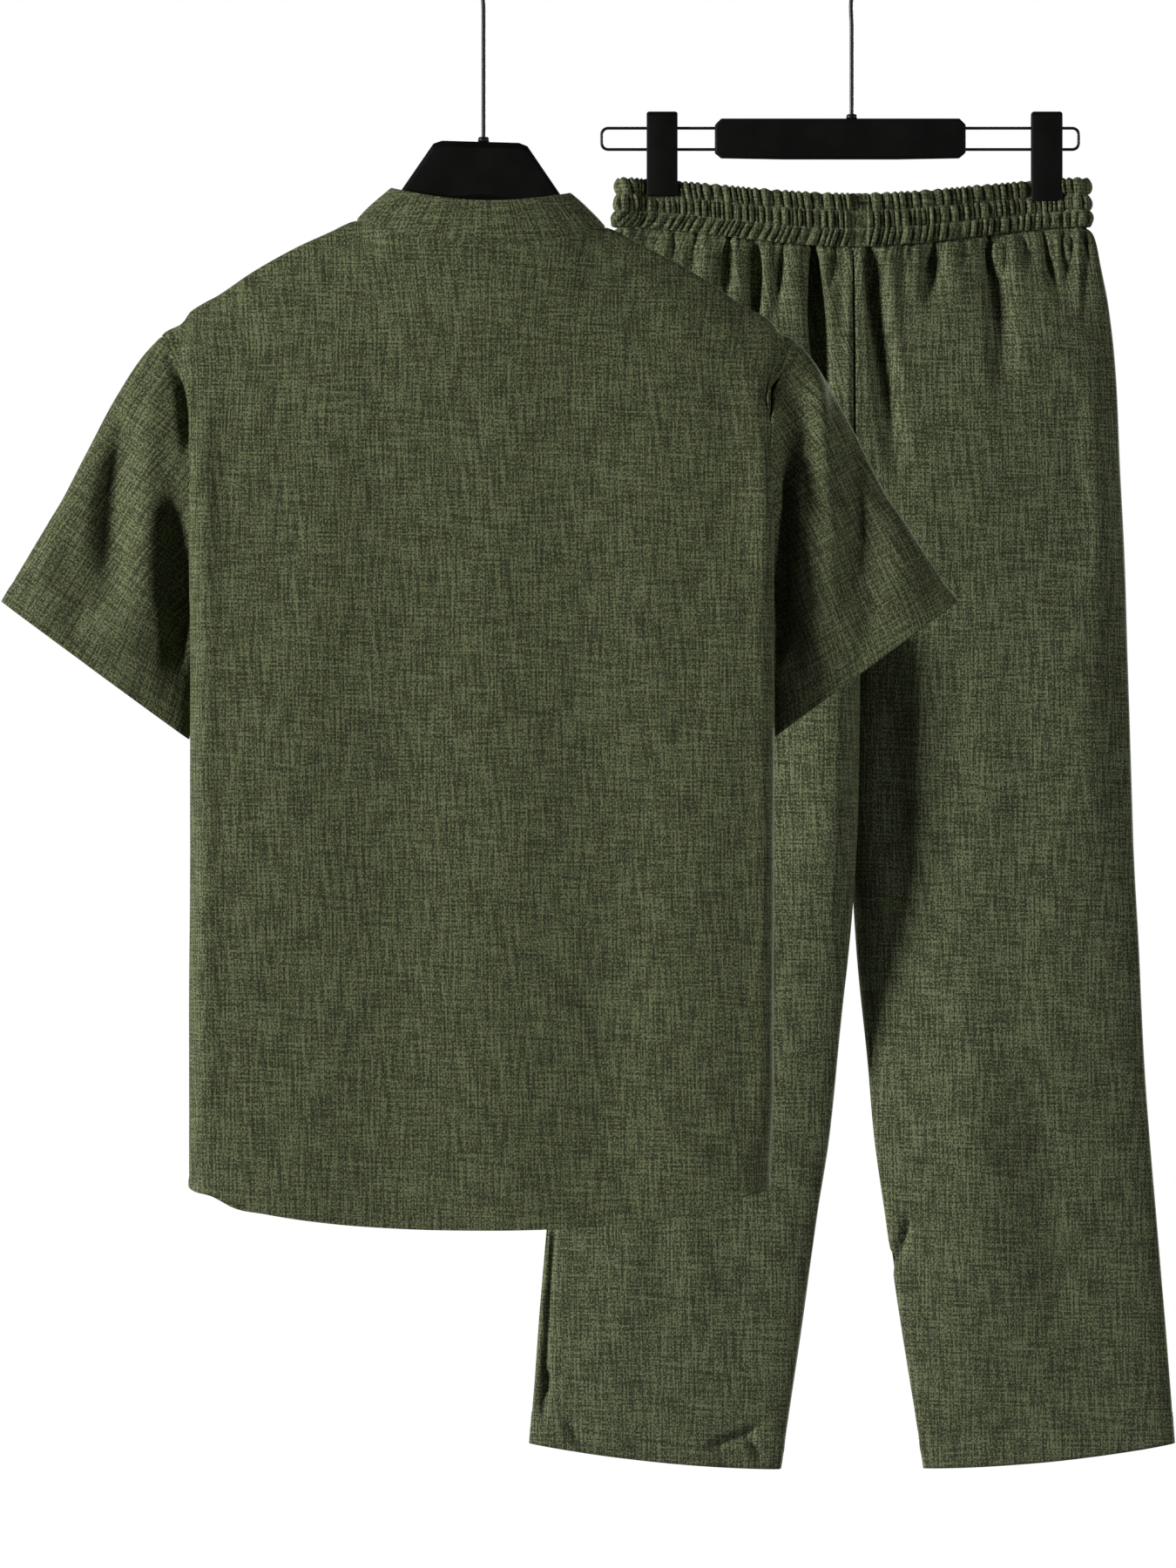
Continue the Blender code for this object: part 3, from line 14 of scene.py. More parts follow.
import bmesh
import bpy
import numpy as np
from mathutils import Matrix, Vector


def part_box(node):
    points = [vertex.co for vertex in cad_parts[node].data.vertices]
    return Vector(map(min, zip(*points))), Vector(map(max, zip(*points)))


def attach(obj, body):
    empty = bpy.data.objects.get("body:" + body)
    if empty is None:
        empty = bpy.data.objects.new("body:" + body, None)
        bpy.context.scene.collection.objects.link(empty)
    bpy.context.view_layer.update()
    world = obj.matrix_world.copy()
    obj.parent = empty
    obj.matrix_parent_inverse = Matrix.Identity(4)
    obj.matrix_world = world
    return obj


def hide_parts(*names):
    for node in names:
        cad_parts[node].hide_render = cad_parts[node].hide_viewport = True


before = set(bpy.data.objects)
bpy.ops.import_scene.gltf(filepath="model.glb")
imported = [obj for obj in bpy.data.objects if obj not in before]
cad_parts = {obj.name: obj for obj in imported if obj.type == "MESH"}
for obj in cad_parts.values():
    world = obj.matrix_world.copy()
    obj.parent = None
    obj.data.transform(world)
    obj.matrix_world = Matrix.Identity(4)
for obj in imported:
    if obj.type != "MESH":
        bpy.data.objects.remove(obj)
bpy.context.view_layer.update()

MM = 0.001
WEAVE_MAP = "Weave"
BESIDE_SEAM = (0.7, 1.6, 3.0)
LOG = logging.getLogger("co_ord_set")


class Edge(Enum):
    """An edge of a cloth panel's grid."""

    TOP = "top"
    BOTTOM = "bottom"
    LEFT = "left"
    RIGHT = "right"


def unit(vectors: np.ndarray) -> np.ndarray:
    """Vectors of length one."""
    length = np.linalg.norm(vectors, axis=-1, keepdims=True)
    return vectors / np.maximum(length, 1e-12)


def smooth_step(value: np.ndarray | float) -> np.ndarray:
    """Zero below 0, one above 1, and a soft ramp between."""
    value = np.clip(value, 0.0, 1.0)
    return value * value * (3.0 - 2.0 * value)


def bell(away: np.ndarray | float, width: float, power: int = 2) -> np.ndarray:
    """One at 0, falling softly to nothing past the width on both sides."""
    return np.exp(-((away / width) ** power))


def hermite(p0: np.ndarray, p1: np.ndarray, m0: np.ndarray, m1: np.ndarray,
            t: np.ndarray | float) -> np.ndarray:
    """A cubic between two points with given end directions."""
    start = (1 + 2 * t) * (1 - t) ** 2 * p0 + t * (1 - t) ** 2 * m0
    return start + t * t * (3 - 2 * t) * p1 + t * t * (t - 1) * m1


class Profile:
    """Rows of named sizes, read between rows by a smooth curve without overshoot."""

    def __init__(self, columns: str, rows: tuple) -> None:
        """Keep the rows.

        Args:
            columns: the columns' names, parted by spaces; the first is the key.
            rows: one tuple of sizes for each row, with the key rising.
        """
        self.names = columns.split()
        self.rows = np.array(rows, dtype=float)

    def column(self, name: str) -> np.ndarray:
        """The whole column of that name."""
        return self.rows[:, self.names.index(name)]

    def at(self, name: str, key: np.ndarray | float) -> np.ndarray:
        """The column's value where the key column reaches key.

        Args:
            name: the column to read.
            key: one key or an array of them.

        Returns:
            An array of the key's shape.
        """
        x = self.rows[:, 0]
        y = self.column(name)
        h = np.diff(x)
        s = np.diff(y) / h
        slopes = np.empty(len(x))
        slopes[0], slopes[-1] = s[0], s[-1]
        w1 = 2 * h[1:] + h[:-1]
        w2 = h[1:] + 2 * h[:-1]
        same = s[:-1] * s[1:] > 0
        first = np.where(same, s[:-1], 1.0)
        second = np.where(same, s[1:], 1.0)
        slopes[1:-1] = np.where(same, (w1 + w2) / (w1 / first + w2 / second), 0.0)
        key = np.clip(np.asarray(key, dtype=float), x[0], x[-1])
        i = np.clip(np.searchsorted(x, key) - 1, 0, len(x) - 2)
        t = (key - x[i]) / h[i]
        return hermite(y[i], y[i + 1], h[i] * slopes[i], h[i] * slopes[i + 1], t)


def stations(length: float, step: float, start_seam: bool, end_seam: bool) -> np.ndarray:
    """Places along a line, evenly spread, with more of them beside its seams.

    Args:
        length: the line's length.
        step: the spread between places.
        start_seam: whether the line starts at a seam or edge that needs them.
        end_seam: whether it ends at one.

    Returns:
        Rising distances from 0 to length.
    """
    low = BESIDE_SEAM[-1] if start_seam else 0.0
    high = length - BESIDE_SEAM[-1] if end_seam else length
    count = max(int(round((high - low) / step)), 1)
    places = list(np.linspace(low, high, count + 1))
    if start_seam:
        places = [0.0, *BESIDE_SEAM[:-1], *places]
    if end_seam:
        places = [*places, *(length - d for d in reversed(BESIDE_SEAM[:-1])), length]
    return np.array(places)


def spline(points: np.ndarray, step: float, seams: tuple[bool, bool],
           closed: bool = False) -> np.ndarray:
    """Points along smooth curves through a grid's first axis.

    Args:
        points: rows by columns by 3; a curve runs down each column.
        step: the spread between the new rows.
        seams: whether the first and the last row are seams or edges.
        closed: whether the last row goes on to the first.

    Returns:
        The grid with its new rows.
    """
    if closed:
        points = np.concatenate([points[-1:], points, points[:2]])
    chord = np.linalg.norm(np.diff(points, axis=0), axis=2).mean(axis=1)
    chord = np.maximum(chord, 1e-6)
    knots = np.concatenate([[0.0], np.cumsum(chord)])
    slope = np.diff(points, axis=0) / chord[:, None, None]
    tangent = np.empty_like(points)
    tangent[0], tangent[-1] = slope[0], slope[-1]
    before, after = chord[:-1, None, None], chord[1:, None, None]
    tangent[1:-1] = (before * slope[1:] + after * slope[:-1]) / (before + after)
    if closed:
        count = int(round((knots[-2] - knots[1]) / step))
        at = knots[1] + (knots[-2] - knots[1]) * np.arange(count) / count
    else:
        at = stations(knots[-1], step, *seams)
    i = np.clip(np.searchsorted(knots, at, side="right") - 1, 0, len(chord) - 1)
    h = chord[i][:, None, None]
    t = ((at - knots[i]) / chord[i])[:, None, None]
    return hermite(points[i], points[i + 1], h * tangent[i], h * tangent[i + 1], t)


@dataclass(frozen=True)
class Crease:
    """A soft trough or ridge of the cloth, along a curve seen from the back or front.

    The curve starts at (x0, z0), bends towards (x1, z1) and ends at (x2, z2). A trough has a
    height below 0. The lean makes one side wider than the other, soft_start and soft_end are the
    shares of the curve over which it rises and fades, and the pinch is the share of its width
    that it starts with.
    """

    x0: float
    z0: float
    x1: float
    z1: float
    x2: float
    z2: float
    height: float
    width: float
    lean: float = 0.0
    soft_start: float = 0.3
    soft_end: float = 0.4
    pinch: float = 1.0

    def lift(self, x: np.ndarray, z: np.ndarray) -> np.ndarray:
        """How far the crease moves the cloth outward.

        Args:
            x: where the cloth's points are seen, across.
            z: where they are seen, upward.

        Returns:
            The move of each point.
        """
        t = np.linspace(0.0, 1.0, 15)
        bx = (1 - t) ** 2 * self.x0 + 2 * t * (1 - t) * self.x1 + t * t * self.x2
        bz = (1 - t) ** 2 * self.z0 + 2 * t * (1 - t) * self.z1 + t * t * self.z2
        best = np.full(x.shape, 1e9)
        along = np.zeros(x.shape)
        side = np.zeros(x.shape)
        for k in range(len(t) - 1):
            dx, dz = bx[k + 1] - bx[k], bz[k + 1] - bz[k]
            span = dx * dx + dz * dz
            s = np.clip(((x - bx[k]) * dx + (z - bz[k]) * dz) / span, 0.0, 1.0)
            ox, oz = x - bx[k] - s * dx, z - bz[k] - s * dz
            away = np.hypot(ox, oz)
            closer = away < best
            best = np.where(closer, away, best)
            along = np.where(closer, (k + s) / (len(t) - 1), along)
            side = np.where(closer, np.sign(dx * oz - dz * ox), side)
        width = self.width * (1.0 + self.lean * side)
        width = width * (self.pinch + (1.0 - self.pinch) * smooth_step(along / 0.7))
        fade = smooth_step(along / self.soft_start) * smooth_step((1.0 - along) / self.soft_end)
        return self.height * fade * bell(best, width)


def creases(*rows: tuple) -> tuple:
    """Creases from rows of sizes, each in the order of Crease's fields."""
    return tuple(Crease(*row) for row in rows)


class ClothPanel:
    """A cloth panel: a fine grid of its outer face, made into a thin closed wall.

    The wall is the cloth's thickness. The weave's run across is evened over steady rows each way.
    """

    FACING = 0.75

    def __init__(self, name: str, node: str, grid: np.ndarray, closed: bool, grain: float) -> None:
        """Start from a grid of the panel's outer face.

        Args:
            name: the piece's name.
            node: the solid that it stands for.
            grid: rows downward by columns by 3, with its normals outward.
            closed: whether the last column meets the first.
            grain: how far the weft is turned from level, in degrees.
        """
        self.name = name
        self.node = node
        self.grid = grid
        self.closed = closed
        self.grain = math.radians(grain)
        self.wall = 0.9
        self.steady = 18
        self.lift = np.zeros(grid.shape[:2])

    def normals(self) -> np.ndarray:
        """The outward normals of the grid.

        Returns:
            One for each point, of length one.
        """
        if self.closed:
            across = np.roll(self.grid, -1, axis=1) - np.roll(self.grid, 1, axis=1)
        else:
            across = np.gradient(self.grid, axis=1)
        return unit(np.cross(np.gradient(self.grid, axis=0), across))

    def from_edge(self, edge: Edge) -> np.ndarray:
        """How far each point lies from an edge, along the cloth.

        Args:
            edge: the edge.

        Returns:
            One distance for each point.
        """
        axis = 0 if edge in (Edge.TOP, Edge.BOTTOM) else 1
        step = np.linalg.norm(np.diff(self.grid, axis=axis), axis=2)
        total = np.cumsum(step, axis=axis)
        pad = [(1, 0), (0, 0)] if axis == 0 else [(0, 0), (1, 0)]
        total = np.pad(total, pad)
        if edge in (Edge.BOTTOM, Edge.RIGHT):
            last = total[-1:] if axis == 0 else total[:, -1:]
            return last - total
        return total

    def crease(self, creases: tuple, fade: float, least: float = 0.0, behind: float = 1.0,
               aside: float = 1.0) -> None:
        """Move the points out or in by each of these creases.

        Args:
            creases: the creases.
            fade: how far from the top seam they reach their full height.
            least: the share of it that they have at that seam.
            behind: the share of it that they have on cloth that faces the front.
            aside: the share of it that they have on cloth that faces sideways.
        """
        height = np.zeros(self.grid.shape[:2])
        for one in creases:
            height += one.lift(self.grid[..., 0], self.grid[..., 2])
        height *= least + (1.0 - least) * smooth_step(self.from_edge(Edge.TOP) / fade)
        away = self.normals()
        height *= 1.0 + (behind - 1.0) * smooth_step(0.5 + away[..., 1])
        height *= aside + (1.0 - aside) * smooth_step(np.abs(away[..., 1]) / self.FACING)
        self.grid = self.grid + away * height[..., None]

    def roll_seam(self, *edges: Edge, depth: float = 0.55, width: float = 1.3) -> None:
        """Sink the cloth a little along its seams, as sewing draws it in.

        Args:
            edges: the edges that are seams.
            depth: how deep it sinks.
            width: how far from the seam it does.
        """
        for edge in edges:
            self.lift -= depth * bell(self.from_edge(edge), width)

    def turn_hem(self, edge: Edge, width: float, thick: float = 0.5) -> None:
        """Raise the doubled cloth of a turned hem, faintly puckered by its stitches.

        Args:
            edge: the edge that is turned.
            width: the hem's width.
            thick: how far its cloth stands out.
        """
        away = self.from_edge(edge)
        inside = smooth_step((width + 0.6 - away) / 1.2)
        draw = -0.4 * bell(away - width, 1.1)
        run = self.weave()[..., 0] if edge in (Edge.TOP, Edge.BOTTOM) else self.grid[..., 2]
        pucker = np.sin(run * 0.83 + 1.3 * np.sin(run * 0.071)) * np.sin(run * 0.31 + away * 0.5)
        near = bell(away - width * 0.6, width * 0.5)
        self.lift += thick * inside + draw + 0.22 * pucker * near

    def slub(self, amount: float, size: float, seed: float) -> None:
        """Make the cloth faintly uneven, as it hangs.

        Args:
            amount: the height of the unevenness.
            size: its usual width.
            seed: shifts it, so that two panels differ.
        """
        x, z = self.grid[..., 0] / size, self.grid[..., 2] / size
        wave = np.sin(x * 1.7 + seed) * np.sin(z * 0.45 + 1.7 * seed + 0.6 * np.sin(x * 0.9))
        wave += 0.6 * np.sin(x * 3.1 + 0.8 * np.sin(z * 0.7 + seed) + 2.0 * seed)
        wave += 0.4 * np.sin(z * 1.3 + x * 0.8 + 3.0 * seed)
        self.lift += amount * wave

    def weave(self) -> np.ndarray:
        """Where each point lies on the flat cloth.

        Returns:
            Its places along the weft and along the warp.
        """
        turn = self.grain
        x, y, z = self.grid[..., 0], self.grid[..., 1], self.grid[..., 2]
        weft = x * math.cos(turn) + z * math.sin(turn)
        warp = -x * math.sin(turn) + z * math.cos(turn)
        step = np.hypot(np.diff(weft, axis=1), np.diff(y, axis=1))
        reach = min(self.steady, len(step) - 1)
        total = np.cumsum(np.pad(step, ((1, 0), (0, 0))), axis=0)
        low = np.clip(np.arange(len(step)) - reach, 0, None)
        high = np.clip(np.arange(len(step)) + reach + 1, None, len(step))
        step = (total[high] - total[low]) / (high - low)[:, None]
        if self.closed:
            run = np.concatenate([np.zeros((len(x), 1)), np.cumsum(step, axis=1)], axis=1)
            return np.stack([run + weft[:, :1], warp], axis=-1)
        sign = np.sign(np.mean(np.diff(weft, axis=1)))
        run = np.concatenate([np.zeros((len(x), 1)), np.cumsum(step, axis=1)], axis=1) * sign
        middle = x.shape[1] // 2
        run += (weft[:, middle] - run[:, middle])[:, None]
        return np.stack([run, warp], axis=-1)

    def outer(self) -> np.ndarray:
        """The finished outer face's points."""
        return self.grid + self.normals() * self.lift[..., None]

    def line(self, edge: Edge, away: float, proud: float = 0.12) -> np.ndarray:
        """A line on the outer face, at one distance from an edge.

        Args:
            edge: the edge that it follows.
            away: its distance from that edge.
            proud: how far it stands off the cloth.

        Returns:
            Its points.
        """
        face = self.outer() + self.normals() * proud
        distance = self.from_edge(edge)
        if edge in (Edge.LEFT, Edge.RIGHT):
            face, distance = np.swapaxes(face, 0, 1), distance.T
        if edge in (Edge.BOTTOM, Edge.RIGHT):
            face, distance = face[::-1], distance[::-1]
        points = []
        for c in range(face.shape[1]):
            if distance[-1, c] < away:
                continue
            points.append([np.interp(away, distance[:, c], face[:, c, k]) for k in range(3)])
        return np.array(points)

    def build(self, finish: bpy.types.Material) -> bpy.types.Object:
        """Make the piece.

        Args:
            finish: its material.

        Returns:
            The object, at the origin, with its weave map.
        """
        outer = self.outer()
        inner = outer - self.normals() * self.wall
        rows, columns = outer.shape[:2]
        shift = rows * columns
        span = columns if self.closed else columns - 1
        r, c = np.meshgrid(np.arange(rows - 1), np.arange(span), indexing="ij")
        a = (r * columns + c).ravel()
        b = (r * columns + (c + 1) % columns).ravel()
        front = np.stack([a, a + columns, b + columns, b], axis=1)
        back = np.stack([a, b, b + columns, a + columns], axis=1) + shift
        faces = [front, back]
        c = np.arange(span)
        d = (c + 1) % columns
        low = (rows - 1) * columns
        faces.append(np.stack([c, d, d + shift, c + shift], axis=1))
        faces.append(np.stack([c + low, c + low + shift, d + low + shift, d + low], axis=1))
        if not self.closed:
            a = np.arange(rows - 1) * columns
            b = a + columns
            faces.append(np.stack([a, a + shift, b + shift, b], axis=1))
            a, b = a + columns - 1, b + columns - 1
            faces.append(np.stack([a, b, b + shift, a + shift], axis=1))
        points = np.concatenate([outer.reshape(-1, 3), inner.reshape(-1, 3)])
        weave = self.weave().reshape(-1, 2)
        faces = np.concatenate(faces)
        made = mesh_object(self.name, points, faces, finish)
        layer = made.data.uv_layers.new(name=WEAVE_MAP)
        places = np.concatenate([weave, weave])[faces.ravel()]
        if self.closed:
            self._unwrap_ends(places, faces, columns)
        layer.uv.foreach_set("vector", (places * MM).astype(np.float32).ravel())
        return made

    def _unwrap_ends(self, places: np.ndarray, faces: np.ndarray, columns: int) -> None:
        """Keep the weave unbroken in the faces that join the last column to the first.

        Args:
            places: the weave map's places, one for each face corner.
            faces: the faces' point numbers.
            columns: how many columns the grid has.
        """
        run = places[:, 0].reshape(len(faces), -1)
        column = (faces % columns).reshape(len(faces), -1)
        ends = (column.min(axis=1) == 0) & (column.max(axis=1) == columns - 1)
        step = np.median(np.abs(np.diff(self.weave()[0, :, 0])))
        top = np.where(column == columns - 1, run, -1e9).max(axis=1)
        first = ends[:, None] & (column == 0)
        run[first] = (np.repeat(top[:, None], run.shape[1], axis=1) + step)[first]

    def area(self) -> float:
        """The outer face's area.

        Returns:
            The area in square metres.
        """
        g = self.outer()
        if self.closed:
            g = np.concatenate([g, g[:, :1]], axis=1)
        across, down = np.diff(g, axis=1)[:-1], np.diff(g, axis=0)[:, :-1]
        return float(np.linalg.norm(np.cross(across, down), axis=2).sum()) * MM * MM


def put(name: str, data: bpy.types.ID) -> bpy.types.Object:
    """An object of the scene.

    Args:
        name: the object's name.
        data: its mesh, camera or light.

    Returns:
        The object.
    """
    made = bpy.data.objects.new(name, data)
    bpy.context.scene.collection.objects.link(made)
    return made


def mesh_object(name: str, points: np.ndarray, faces: list, finish: bpy.types.Material,
                smooth: bool = True) -> bpy.types.Object:
    """A mesh object from points in millimetres.

    Args:
        name: the object's name.
        points: rows of x, y, z.
        faces: tuples of point numbers, wound outward.
        finish: its material.
        smooth: whether it is shaded smooth.

    Returns:
        The object, linked to the scene.
    """
    mesh = bpy.data.meshes.new(name)
    scaled = np.asarray(points, dtype=float) * MM
    rows = [tuple(int(i) for i in face) for face in faces]
    mesh.from_pydata([tuple(p) for p in scaled.tolist()], [], rows)
    mesh.update()
    mesh.materials.append(finish)
    mesh.polygons.foreach_set("use_smooth", [smooth] * len(mesh.polygons))
    return put(name, mesh)


def feed(links: bpy.types.NodeLinks, node: bpy.types.Node, inputs: dict) -> None:
    """Set or link a node's sockets.

    Args:
        links: the tree's links.
        node: the node.
        inputs: its sockets, by name with _ for a space, or i0, i1 by number.
    """
    for key, value in inputs.items():
        by_number = key[0] == "i" and key[1:].isdigit()
        socket = node.inputs[int(key[1:])] if by_number else node.inputs[key.replace("_", " ")]
        if isinstance(value, bpy.types.NodeSocket):
            links.new(value, socket)
        else:
            socket.default_value = value


class NodeBoard:
    """A material's nodes, added one by one and linked by what each is given."""

    def __init__(self, name: str) -> None:
        """Start an empty material.

        Args:
            name: the material's name.
        """
        self.material = bpy.data.materials.new(name)
        self.material.use_nodes = True
        self.nodes = self.material.node_tree.nodes
        self.links = self.material.node_tree.links
        self.shader = self.nodes["Principled BSDF"]

    def add(self, kind: str, settings: dict | None = None, **inputs) -> bpy.types.Node:
        """Add a node.

        Args:
            kind: its type's name without the leading ShaderNode.
            settings: its own properties.
            inputs: its sockets, as feed takes them.

        Returns:
            The node.
        """
        node = self.nodes.new("ShaderNode" + kind)
        for key, value in (settings or {}).items():
            setattr(node, key, value)
        feed(self.links, node, inputs)
        return node

    def shade(self, **inputs) -> None:
        """Set or link the shader's sockets."""
        feed(self.links, self.shader, inputs)

    def math(self, operation: str, first: bpy.types.NodeSocket | float,
             second: bpy.types.NodeSocket | float) -> bpy.types.NodeSocket:
        """The result of a two-value sum."""
        return self.add("Math", {"operation": operation}, i0=first, i1=second).outputs[0]

    def noise(self, vector: bpy.types.NodeSocket, scale: tuple, detail: float) -> bpy.types.NodeSocket:
        """Flat noise, stretched.

        Args:
            vector: the place on the cloth.
            scale: its scale along each direction.
            detail: how many finer layers it has.

        Returns:
            The noise's value.
        """
        mapped = self.add("Mapping", Vector=vector, Scale=(*scale, 1.0))
        made = self.add("TexNoise", {"noise_dimensions": "2D"}, Vector=mapped.outputs[0],
                        Scale=1.0, Detail=detail, Roughness=0.55)
        return made.outputs[0]

    def ramp(self, value: bpy.types.NodeSocket, stops: tuple) -> bpy.types.NodeSocket:
        """A colour ramp.

        Args:
            value: what it reads.
            stops: its stops, each a place and a colour.

        Returns:
            The colour.
        """
        node = self.add("ValToRGB", Fac=value)
        elements = node.color_ramp.elements
        while len(elements) < len(stops):
            elements.new(0.5)
        for element, (place, colour) in zip(elements, stops):
            element.position = place
            element.color = (*colour, 1.0)
        return node.outputs[0]


@dataclass(frozen=True)
class LinenFinish:
    """A matt slubbed plain weave in mixed threads, on the pieces' weave map in metres."""

    name: str
    base: tuple = (0.070, 0.081, 0.036)
    dark: float = 0.35
    light: float = 2.4
    warp_weight: float = 0.25
    weft_weight: float = 0.18
    grain_weight: float = 0.55
    slub_weight: float = 0.05
    stagger: float = 7.0
    spread: float = 0.115
    relief: float = 0.0003
    roughness: float = 0.9
    sheen: float = 0.18

    def material(self) -> bpy.types.Material:
        """Build the material.

        Returns:
            The material, with the weave's threads in its colour and its bump.
        """
        board = NodeBoard(self.name)
        weave = board.add("UVMap", {"uv_map": WEAVE_MAP}).outputs[0]
        weft_way, warp_way, _ = board.add("SeparateXYZ", Vector=weave).outputs
        up = board.math("ADD", warp_way, board.math("MULTIPLY", weft_way, self.stagger))
        along = board.math("ADD", weft_way, board.math("MULTIPLY", warp_way, self.stagger))
        warp = board.add("CombineXYZ", X=weft_way, Y=up).outputs[0]
        weft = board.add("CombineXYZ", X=along, Y=warp_way).outputs[0]
        layers = (
            (warp, self.warp_weight, (660.0, 36.0), 0.0),
            (weft, self.weft_weight, (38.0, 660.0), 0.0),
            (weave, self.grain_weight, (720.0, 600.0), 1.0),
            (warp, self.slub_weight * 0.6, (270.0, 8.0), 0.0),
            (weft, self.slub_weight * 0.4, (9.0, 270.0), 0.0),
        )
        total = 0.0
        for place, weight, scale, detail in layers:
            part = board.math("MULTIPLY", board.noise(place, scale, detail), weight)
            total = board.math("ADD", part, total)
        middle = sum(weight for _, weight, _, _ in layers) / 2.0
        low, high = middle - self.spread, middle + self.spread
        spread = board.add("MapRange", Value=total, i1=low, i2=high).outputs[0]
        dark = tuple(c * self.dark for c in self.base)
        light = tuple(c * self.light for c in self.base)
        light = (light[0] * 1.02, light[1], light[2] * 1.12)
        colour = board.ramp(spread, ((0.0, dark), (0.5, self.base), (1.0, light)))
        bump = board.add("Bump", Strength=0.55, Distance=self.relief, Height=spread)
        board.shade(Base_Color=colour, Roughness=self.roughness, Normal=bump.outputs[0])
        board.shade(Sheen_Weight=self.sheen, Sheen_Roughness=0.45)
        board.shade(Sheen_Tint=(0.62, 0.70, 0.45, 1.0), Specular_IOR_Level=0.2)
        return board.material


@dataclass(frozen=True)
class ThreadFinish:
    """Sewing thread: a shade lighter than the cloth, with a soft sheen."""

    name: str = "sewing_thread"
    colour: tuple = (0.115, 0.128, 0.07)

    def material(self) -> bpy.types.Material:
        """Build the material.

        Returns:
            The material.
        """
        board = NodeBoard(self.name)
        place = board.add("TexCoord").outputs["Object"]
        twist = board.add("TexNoise", Vector=place, Scale=900.0, Detail=1.0).outputs[0]
        dark = tuple(c * 0.6 for c in self.colour)
        colour = board.ramp(twist, ((0.3, dark), (0.7, self.colour)))
        board.shade(Base_Color=colour, Roughness=0.7, Sheen_Weight=0.3)
        return board.material


@dataclass(frozen=True)
class PlasticFinish:
    """Matt moulded plastic with a fine grain."""

    name: str
    colour: tuple
    roughness: float
    grain: float = 0.00008
    shine: float = 0.1

    def material(self) -> bpy.types.Material:
        """Build the material.

        Returns:
            The material.
        """
        board = NodeBoard(self.name)
        place = board.add("TexCoord").outputs["Object"]
        grain = board.add("TexNoise", Vector=place, Scale=1400.0, Detail=2.0).outputs[0]
        wear = board.add("TexNoise", Vector=place, Scale=38.0, Detail=3.0).outputs[0]
        worn = tuple(c * 1.35 + 0.001 for c in self.colour)
        colour = board.ramp(wear, ((0.4, self.colour), (0.75, worn)))
        rough = board.add("MapRange", Value=wear, i3=self.roughness - 0.06, i4=self.roughness + 0.08)
        bump = board.add("Bump", Strength=0.5, Distance=self.grain, Height=grain)
        board.shade(Base_Color=colour, Roughness=rough.outputs[0], Normal=bump.outputs[0])
        board.shade(Specular_IOR_Level=self.shine)
        return board.material


@dataclass(frozen=True)
class WireFinish:
    """Black coated steel wire."""

    name: str = "coated_wire"
    colour: tuple = (0.008, 0.008, 0.008)

    def material(self) -> bpy.types.Material:
        """Build the material.

        Returns:
            The material.
        """
        board = NodeBoard(self.name)
        place = board.add("TexCoord").outputs["Object"]
        wear = board.add("TexNoise", Vector=place, Scale=120.0, Detail=3.0).outputs[0]
        rough = board.add("MapRange", Value=wear, i3=0.28, i4=0.45).outputs[0]
        board.shade(Base_Color=(*self.colour, 1.0), Roughness=rough, Specular_IOR_Level=0.3)
        return board.material


class NodeRecipe:
    """A Geometry Nodes tree with named inputs, run once on an object's own mesh."""

    def __init__(self, name: str, inputs: dict) -> None:
        """Start the tree.

        Args:
            name: the tree's name.
            inputs: the socket type of each named input.
        """
        self.tree = bpy.data.node_groups.new(name, "GeometryNodeTree")
        face = self.tree.interface
        face.new_socket("Geometry", in_out="INPUT", socket_type="NodeSocketGeometry")
        self.sockets = {}
        for key, kind in inputs.items():
            made = face.new_socket(key, in_out="INPUT", socket_type=kind)
            self.sockets[key] = made.identifier
        face.new_socket("Geometry", in_out="OUTPUT", socket_type="NodeSocketGeometry")
        self.source = self.tree.nodes.new("NodeGroupInput").outputs
        self.end = self.tree.nodes.new("NodeGroupOutput").inputs[0]

    def add(self, kind: str, settings: dict | None = None, **inputs) -> bpy.types.Node:
        """Add a node.

        Args:
            kind: its type's name.
            settings: its own properties.
            inputs: its sockets, as feed takes them.

        Returns:
            The node.
        """
        node = self.tree.nodes.new(kind)
        for key, value in (settings or {}).items():
            setattr(node, key, value)
        feed(self.tree.links, node, inputs)
        return node

    def close(self, geometry: bpy.types.NodeSocket) -> None:
        """Realize, shade and paint the result, and end the tree with it.

        Args:
            geometry: the result.
        """
        real = self.add("GeometryNodeRealizeInstances", Geometry=geometry)
        smooth = self.add("GeometryNodeSetShadeSmooth", Geometry=real.outputs[0])
        painted = self.add("GeometryNodeSetMaterial", Geometry=smooth.outputs[0],
                           Material=self.source["Finish"])
        self.tree.links.new(painted.outputs[0], self.end)

    def run(self, name: str, lines: list, values: dict) -> bpy.types.Object:
        """Run the tree on open lines and keep the result as a plain mesh.

        Args:
            name: the new object's name.
            lines: arrays of points in millimetres, one for each line.
            values: a value for each named input.

        Returns:
            The object.
        """
        points = []
        edges = []
        for line in lines:
            start = len(points)
            points += [tuple(p) for p in (np.asarray(line, dtype=float) * MM).tolist()]
            edges += [(start + i, start + i + 1) for i in range(len(line) - 1)]
        mesh = bpy.data.meshes.new(name)
        mesh.from_pydata(points, edges, [])
        made = put(name, mesh)
        modifier = made.modifiers.new(name, "NODES")
        modifier.node_group = self.tree
        for key, value in values.items():
            modifier[self.sockets[key]] = value
        bpy.context.view_layer.update()
        graph = bpy.context.evaluated_depsgraph_get()
        result = bpy.data.meshes.new_from_object(made.evaluated_get(graph))
        made.modifiers.remove(modifier)
        made.data = result
        return made


